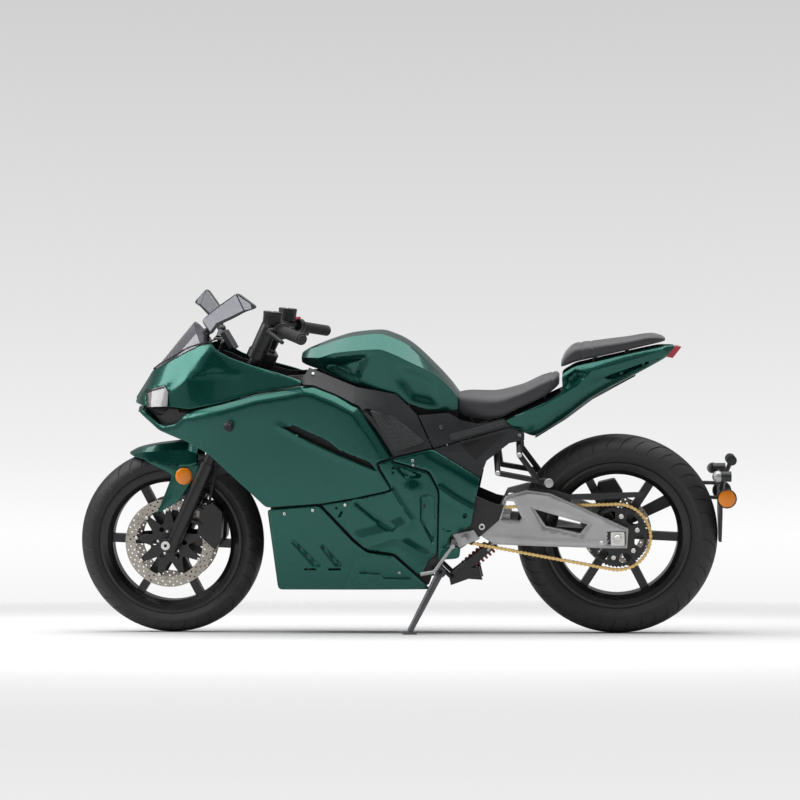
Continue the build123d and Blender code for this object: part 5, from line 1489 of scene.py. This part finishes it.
dress(finished("rear_damper", damper, bevel=0.6), "chassis", black_frame,
      "rear_shock")
print("spring faces", len(spring.data.polygons))

# %% [markdown]
# Round fittings come from the lathe: the crash bobbins on the flanks, ribbed grips, brake and
# clutch fluid pots with their lids, lamps and reflectors at the rear.

# %% Crash bobbins
BOBBIN_X, BOBBIN_Z = -487, 673
y = body_out(BOBBIN_X, BOBBIN_Z)
bobbins = turned_pair(
    bmesh.new(), (BOBBIN_X, y - 6, BOBBIN_Z), (BOBBIN_X, y + 33, BOBBIN_Z),
    [(0, 17), (0.2, 17), (0.3, 14), (0.72, 13), (0.8, 12.6), (0.93, 12), (1, 9.5)], 36)
bobbin_ends = [from_side(BOBBIN_X, side * (y + 32.6), BOBBIN_Z) for side in (-1, 1)]
dress(finished("crash_bobbins", bobbins), "chassis", black_plastic)
screws("crash_bobbin_screws", bobbin_ends, 5.0, "chassis", black_frame)
print("bobbins stand out", round(y + 33, 1), "mm")

# %% [markdown]
# Rubber grips are ribbed so that a wet glove holds them. One lathe profile carries all the ribs.

# %% Grips
GRIP_IN, GRIP_OUT = Vector((-312, 218, 964)), Vector((-240, 340, 945))
grip_way = (GRIP_OUT - GRIP_IN).normalized()
ribs = [(0.0, 17.0), (0.005, 21.0), (0.03, 21.0), (0.04, 16.6)]
for k in range(22):
    at = 0.06 + 0.82 * k / 22
    ribs += [(at, 16.4), (at + 0.004, 17.6), (at + 0.026, 17.6), (at + 0.03, 16.4)]
ribs += [(0.90, 16.6), (0.91, 17.8), (0.955, 17.8), (0.96, 14.0), (1.0, 13.0)]
grip_mesh = turned_pair(bmesh.new(), GRIP_IN, GRIP_OUT + grip_way * 5, ribs, 36)
dress(finished("grip_sleeves", grip_mesh, sharp=40), "steering", grip_rubber, "grips")
print("grip ribs", len(ribs) // 4)

# %% [markdown]
# The pots beside the grips keep the brake and clutch fluid under screwed lids. A ribbed collar
# closes each grip towards the middle.

# %% Fluid pots and lids
POT_FOOT, POT_TOP = Vector((-352, 178, 985)), Vector((-348, 178, 1019))
COLLAR = GRIP_IN - grip_way * 15
pots = turned_pair(bmesh.new(), POT_FOOT, POT_TOP,
                   [(0, 24), (0.1, 27.5), (0.8, 28), (0.86, 29.6), (1, 29.6)], 40)
lids = turned_pair(bmesh.new(), POT_TOP, POT_TOP + Vector((0.6, 0, 6)),
                   [(0, 29.2), (0.2, 30.2), (0.75, 30.0), (1, 27.5)], 40)
turned_pair(lids, COLLAR, COLLAR + grip_way * 12,
            [(0, 24.4), (0.1, 25.2), (0.45, 25.2), (0.5, 24.2), (0.55, 25.2), (0.9, 25.2),
             (1, 24.4)], 40)
lid_screws = [(parked(-347.4, side * 178 + dy, 1025.0), PARK_TURN @ Vector((0.1, 0, 1)), 0.9)
              for side in (-1, 1) for dy in (-19, 19)]
dress(finished("fluid_pots", pots, sharp=30), "steering", black_plastic)
dress(finished("pot_lids", lids, sharp=30), "steering", black_frame)
screws("pot_lid_screws", lid_screws, 3.4, "steering", bright_steel)
print("lid screws", len(lid_screws))

# %% [markdown]
# A red stop switch sits beside the right grip: a small block with its edges rounded by a bevel.

# %% Stop switch
def rounded_block(name, centre, size, turn, bevel):
    """A block with eased edges, at a place and a turn round the height."""
    made = bmesh.new()
    bmesh.ops.create_cube(made, size=1.0)
    place = (Matrix.Translation(Vector(centre)) @ Matrix.Rotation(turn, 4, "Z")
             @ Matrix.Diagonal((*size, 1)))
    for vert in made.verts:
        at = place @ vert.co
        vert.co = parked(*at)
    bmesh.ops.bevel(made, geom=made.edges[:], offset=bevel / 1000, segments=3, affect="EDGES",
                    profile=0.5)
    return finished(name, made, sharp=50)


stop_switch = rounded_block("engine_stop_switch", (-322, 204, 990), (26, 15, 13), 1.04, 3.0)
dress(stop_switch, "steering", red_lens)
print("controls dressed")

# %% [markdown]
# At the tail sit two amber reflectors in black rims, two indicators with pale domes and a ribbed
# lamp for the plate. Two more amber reflectors ride on the front fender.

# %% Reflectors and indicators
rear_amber = turned_pair(bmesh.new(), (1040, 118.2, 436), (1040, 123.5, 436),
                         [(0, 26.5), (0.4, 26.5), (0.75, 24), (1, 19)], 48)
rims = turned_pair(bmesh.new(), (1040, 110, 436), (1040, 120.5, 436),
                   [(0, 24), (0.15, 29.4), (0.8, 30.2), (1, 29.2)], 48)
domes = turned_pair(bmesh.new(), (1012, 132, 506), (1005, 147, 507),
                    [(0, 17.5), (0.3, 17.5), (0.6, 15.5), (0.85, 10.5), (1, 4)], 36)
front_amber = turned_pair(bmesh.new(), (-652, 75, 506), (-652, 81, 506),
                          [(0, 27), (0.35, 27), (0.7, 25), (1, 20)], 48)
ribbed = bmesh.new()
for y in range(-36, 37, 9):
    turned(ribbed, (1060, y - 3.2, 546), (1060, y + 3.2, 546),
           [(0, 13.6), (0.15, 16), (0.85, 16), (1, 13.6)], 28)
dress(finished("rear_reflector_lenses", rear_amber), "chassis", amber_lens)
dress(finished("rear_reflector_rims", rims), "chassis", black_frame)
dress(finished("indicator_domes", domes, sharp=60), "chassis", cast_silver)
dress(finished("plate_lamp_ribs", ribbed), "chassis", black_plastic)
dress(finished("fender_reflector_lenses", front_amber), "steering", amber_lens,
      "fender_reflectors")
print("reflectors ready")

# %% [markdown]
# The tail light is a row of five red cells across the tail. The footrests end in bright tips,
# and two bolts hold each of their plates.

# %% Tail light and footrests
TAIL_LIGHT = [(889.5, 905), (907, 900), (880, 865), (860, 869)]
CELL_WIDTH, CELL_STEP = 9.4, 10
for k in range(5):
    left = -24.8 + CELL_STEP * k
    cell = flat_part(f"tail_light_cell_{k + 1}", TAIL_LIGHT, [], left, left + CELL_WIDTH,
                     bevel=1.8, sides=(1,))
    dress(cell, "chassis", red_lens, "tail_light")
tips = turned_pair(bmesh.new(), (495.4, 214, 496.8), (496.3, 229, 497.1),
                   [(0, 12.4), (0.1, 14), (0.75, 14), (0.9, 12.5), (1, 8)], 28)
rest_bolts = [from_side(x, side * 149.4, z)
              for side in (-1, 1) for x, z in ((338, 520), (405, 576))]
dress(finished("footrest_tips", tips), "chassis", cast_silver)
screws("footrest_bolts", rest_bolts, 8.0, "chassis", bright_steel)
print("rear fittings ready")

# %% [markdown]
# The mirrors are thin shells on ball joints: black outside, with a lighter satin inset on the face
# that looks up.

# %% Mirrors
MIRROR_BLADE = [(-7, 41), (64, 89), (139, 132), (199, 83), (155, 70), (113, 50), (46, 23),
                (16, -10)]
MIRROR_FACE = [(-2, 43), (64, 85), (136, 127), (150, 76), (113, 60), (46, 33), (17, 4)]
MIRROR_END = [(140, 127), (192, 86), (176, 80), (154, 77)]
satin_grey = finish("satin_grey", (0.42, 0.43, 0.47), 0.18, 0.26, 0.55, 1500, 0.03)
round_blade = softened(MIRROR_BLADE, times=3)


def slab(made, plane, outline, low, high, dip=0.0):
    """A blade-shaped slab across a mirror's own plane; its far end may dip."""
    knee, along, across, normal = plane
    rows = [[made.verts.new(parked(*(knee + along * u + across * v
                                     + normal * (h - dip * max(0.0, u - 139)))))
             for u, v in outline] for h in (low, high)]
    bmesh.ops.recalc_face_normals(made, faces=bridged(made, rows))


shells, insets, stems = bmesh.new(), bmesh.new(), bmesh.new()
for side in (-1, 1):
    knee = Vector((-560, side * 150, 962))
    along = Vector((0.90, -0.34, 0.0) if side < 0 else (-0.66, 0.75, 0.0)).normalized()
    normal = along.cross(Vector((0, side * 0.42, 1))).normalized()
    plane = knee, along, normal.cross(along).normalized(), normal
    slab(shells, plane, round_blade, -4.6, 4.6)
    for low, high, dip in ((3.6, 6.0, 0.035), (-6.0, -3.6, -0.035)):
        slab(insets, plane, MIRROR_FACE, low, high)
        slab(insets, plane, MIRROR_END, low, high, dip)
    turned(stems, Vector((-566, side * 116, 932)), knee, [(0, 12), (0.2, 10), (0.8, 9), (1, 9)], 24)
    turned(stems, knee - Vector((0, side * 13, 5)), knee + Vector((0, side * 13, 5)),
           [(0, 6), (0.15, 10.5), (0.4, 13), (0.6, 13), (0.85, 10.5), (1, 6)], 28)
shell_piece = finished("mirror_shells", shells, bevel=2.6, sharp=50)
dress(shell_piece, "chassis", black_plastic, "mirrors")
dress(finished("mirror_insets", insets, bevel=0.4), "chassis", satin_grey, "mirrors")
dress(finished("mirror_stems", stems, sharp=50), "chassis", black_frame, "mirrors")
feet = bmesh.new()
for side in (-1, 1):
    rows = []
    for z, wide, deep in ((926.5, 17, 14), (932, 16, 13), (935.5, 13, 10)):
        corners = softened([(-wide, -deep), (wide, -deep), (wide, deep), (-wide, deep)])
        rows.append([feet.verts.new(parked(-566 + dx, side * 116 + dy, z)) for dx, dy in corners])
    bridged(feet, rows)
bmesh.ops.recalc_face_normals(feet, faces=feet.faces)
dress(finished("mirror_feet", feet, sharp=50), "chassis", black_plastic, "mirrors")
print("mirrors ready")

# %% [markdown]
# The black covers below the tank have sunk, finely ribbed fields that hide scratches from boots.
# The ribs are real: a sine along one direction is added to the sunk surface.

# %% Ribbed fields of the black covers
def ribs_along(direction, pitch, height, shape):
    """Fine ribs inside a shape, running across a direction."""
    dx, dz = direction
    closed = list(shape) + [shape[0]]

    def raise_ribs(x, z):
        if not inside(x, z, list(shape)):
            return 0.0
        edge = min(1.0, off_line(x, z, closed) / 4)
        return height * edge * (0.5 + 0.5 * cos(2 * pi * (x * dx + z * dz) / pitch))
    return None, raise_ribs


FRAME_FIELD = [(-56, 721), (16, 700), (117, 618), (20, 587), (-18, 650)]
field = panel_mesh("frame_cover_fields", FRAME_FIELD, lambda x, z: recessed_out(x, z) + 1.2,
                   [ribs_along((0.55, 0.83), 7.0, 1.4, FRAME_FIELD)], step=2.6, wall=1.6, turn=1.2)
field_black = finish("field_black", (0.026, 0.027, 0.029), 0.4, 0.52, 0, 700, 0.3)
dress(field, "chassis", field_black)
SEAT_FIELD = [(188, 640), (364, 684), (366, 668), (196, 620)]
seat_field = panel_mesh("seat_cover_fields", SEAT_FIELD, lambda x, z: recessed_out(x, z) + 1.0,
                        [ribs_along((0.2, 0.98), 5.2, 1.2, SEAT_FIELD)], step=2.4, wall=1.4,
                        turn=1.0)
dress(seat_field, "chassis", field_black)
SIDE_FIELD = [(217, 610), (363, 650), (352, 622), (300, 580), (268, 552)]
side_field = panel_mesh("side_cover_fields", SIDE_FIELD, lambda x, z: recessed_out(x, z) + 0.9,
                        [], step=8, wall=1.3, turn=1.4)
dress(side_field, "chassis", black_frame)
print("fields", len(field.data.polygons), len(seat_field.data.polygons))

# %% [markdown]
# Behind the two lips of the nose lies the lamp pocket, which closes the front between the panels
# under the lamps. Its near black is painted shade for the shaded inside of the pocket. Each lamp
# has a dark surround and a bright reflector rib.

# %% Lamp pocket and lamp surrounds
pocket_rings = []
for x, z_low, z_high, y in ((-768, 716, 730, 64), (-745, 700, 740, 84), (-716, 684, 742, 102),
                            (-690, 676, 742, 114), (-664, 680, 742, 126), (-640, 696, 740, 136),
                            (-618, 712, 736, 146)):
    pocket_rings.append(
        both_sides(x, [(y - 10, z_low), (y, (z_low + z_high) / 2), (y - 12, z_high)]))
# Painted shade: the pocket is near black to stand for the shade inside it.
lamp_pocket = finished("lamp_pocket", ring_loft(pocket_rings), bevel=1.0)
dress(lamp_pocket, "chassis", rubber_and_painted_shade)


surround = panel_mesh("lamp_surrounds", drawn_in(HEADLIGHT, 1.5), lambda x, z: nose_out(x, z) - 0.6,
                      holes=[drawn_in(HEADLIGHT, 7.0)], step=4.0, wall=2.0, turn=0.8,
                      round_corners=False)
dress(surround, "chassis", black_frame)
lamp_ribs = panel_mesh("lamp_reflector_ribs", [(-752, 752), (-700, 762), (-699, 754), (-751, 744)],
                       lambda x, z: nose_out(x, z) - 1.4, step=4.0, wall=1.2, turn=0.8)
dress(lamp_ribs, "chassis", satin_grey)
seal = bmesh.new()
foot_line = [(x, *section_at(NOSE, x)[-1]) for x in range(-748, -545, 22)]
for side in (-1, 1):
    for (x0, y0, z0), (x1, y1, z1) in zip(foot_line, foot_line[1:]):
        turned(seal, (x0, side * (y0 - 1), z0 + 1.5), (x1, side * (y1 - 1), z1 + 1.5),
               [(0, 2.2), (1, 2.2)], 8)
dress(finished("screen_seals", seal), "chassis", rubber_and_painted_shade)
print("nose front closed")

# %% [markdown]
# Behind the panels, one thin near-black sheet follows them a little inboard. It shows as the dark
# line of every seam and as the dark inside of the vent: painted shade for the space behind them.

# %% Sheet of painted shade behind the panels
SHADE_SHEET_OUTLINE = [(-742, 706), (-716, 672), (-617, 630), (-553, 596), (-520, 566), (-418, 474), (-368, 420),
         (-343, 166), (120, 166), (150, 262), (212, 260), (214, 294), (186, 298), (186, 322),
         (250, 364), (262, 442), (272, 494), (236, 524), (140, 588), (80, 690), (20, 752),
         (-92, 776), (-236, 830), (-333, 824), (-428, 850), (-493, 868), (-536, 890), (-583, 900),
         (-640, 850), (-680, 806), (-680, 735), (-712, 700)]
SHADE_SHEET_GAP = 24


def shade_sheet_out(x, z):
    """The painted-shade sheet stands inside whichever panel covers it."""
    nose = z > section_at(BODY, x)[4][1] - 6
    return (nose_out(x, z) if nose and x < -262 else body_out(x, z)) - SHADE_SHEET_GAP


# Painted shade: a near-black sheet behind the seams and the vent.
shade_sheet = panel_mesh("seam_liner", SHADE_SHEET_OUTLINE, shade_sheet_out, step=16.0, wall=2.0)
dress(shade_sheet, "chassis", rubber_and_painted_shade)
print("liner faces", len(shade_sheet.data.polygons))

# %% [markdown]
# Most construction nodes already have the right shape. They keep it and take a finish here.

# %% Finishes for the construction nodes
wear_of = {
    black_frame: ("main_frame", "subframe", "rear_suspension_link", "passenger_footrests",
                  "rear_caliper", "front_calipers", "fork_legs", "fork_yokes", "handlebars",
                  "hand_controls", "rear_sprocket"),
    black_plastic: ("mirrors", "dash_display", "frame_covers", "seat_side_covers", "side_covers",
                    "tail_undertray", "chain_guard", "plate_carrier"),
    rim_black: ("rear_rim", "front_rim"),
    cast_silver: ("swingarm", "drive_motor", "rider_footrests"),
    bright_steel: ("rear_axle", "front_axle"),
    disc_steel: ("front_brake_discs", "rear_brake_disc"),
    battery_grey: ("battery_pack",),
    grip_rubber: ("grips", "front_brake_hoses"),
    chain_gold: ("drive_chain",),
    amber_lens: ("fender_reflectors",),
    red_lens: ("tail_light",),
    red_spring: ("rear_shock",),
    stand_grey: ("side_stand",),
}
smoke_glass = finish("smoke_screen", (0.34, 0.33, 0.37), 0.05, 0.09, coat=0.3, depth=0.01)
clear_lens = finish("lamp_lens", (0.42, 0.40, 0.40), 0.08, 0.14, coat=1.0, depth=0.02)
for glass, share in ((smoke_glass, 0.72), (clear_lens, 0.35)):
    filled(principled(glass), Transmission_Weight=share)
wear_of[tyre_rubber] = ("rear_tyre", "front_tyre")
wear_of[smoke_glass] = ("windscreen",)
wear_of[clear_lens] = ("headlights",)
for material, names in wear_of.items():
    for name in names:
        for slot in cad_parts[name].material_slots:
            slot.material = material
print("nodes with a finish", sum(len(names) for names in wear_of.values()))
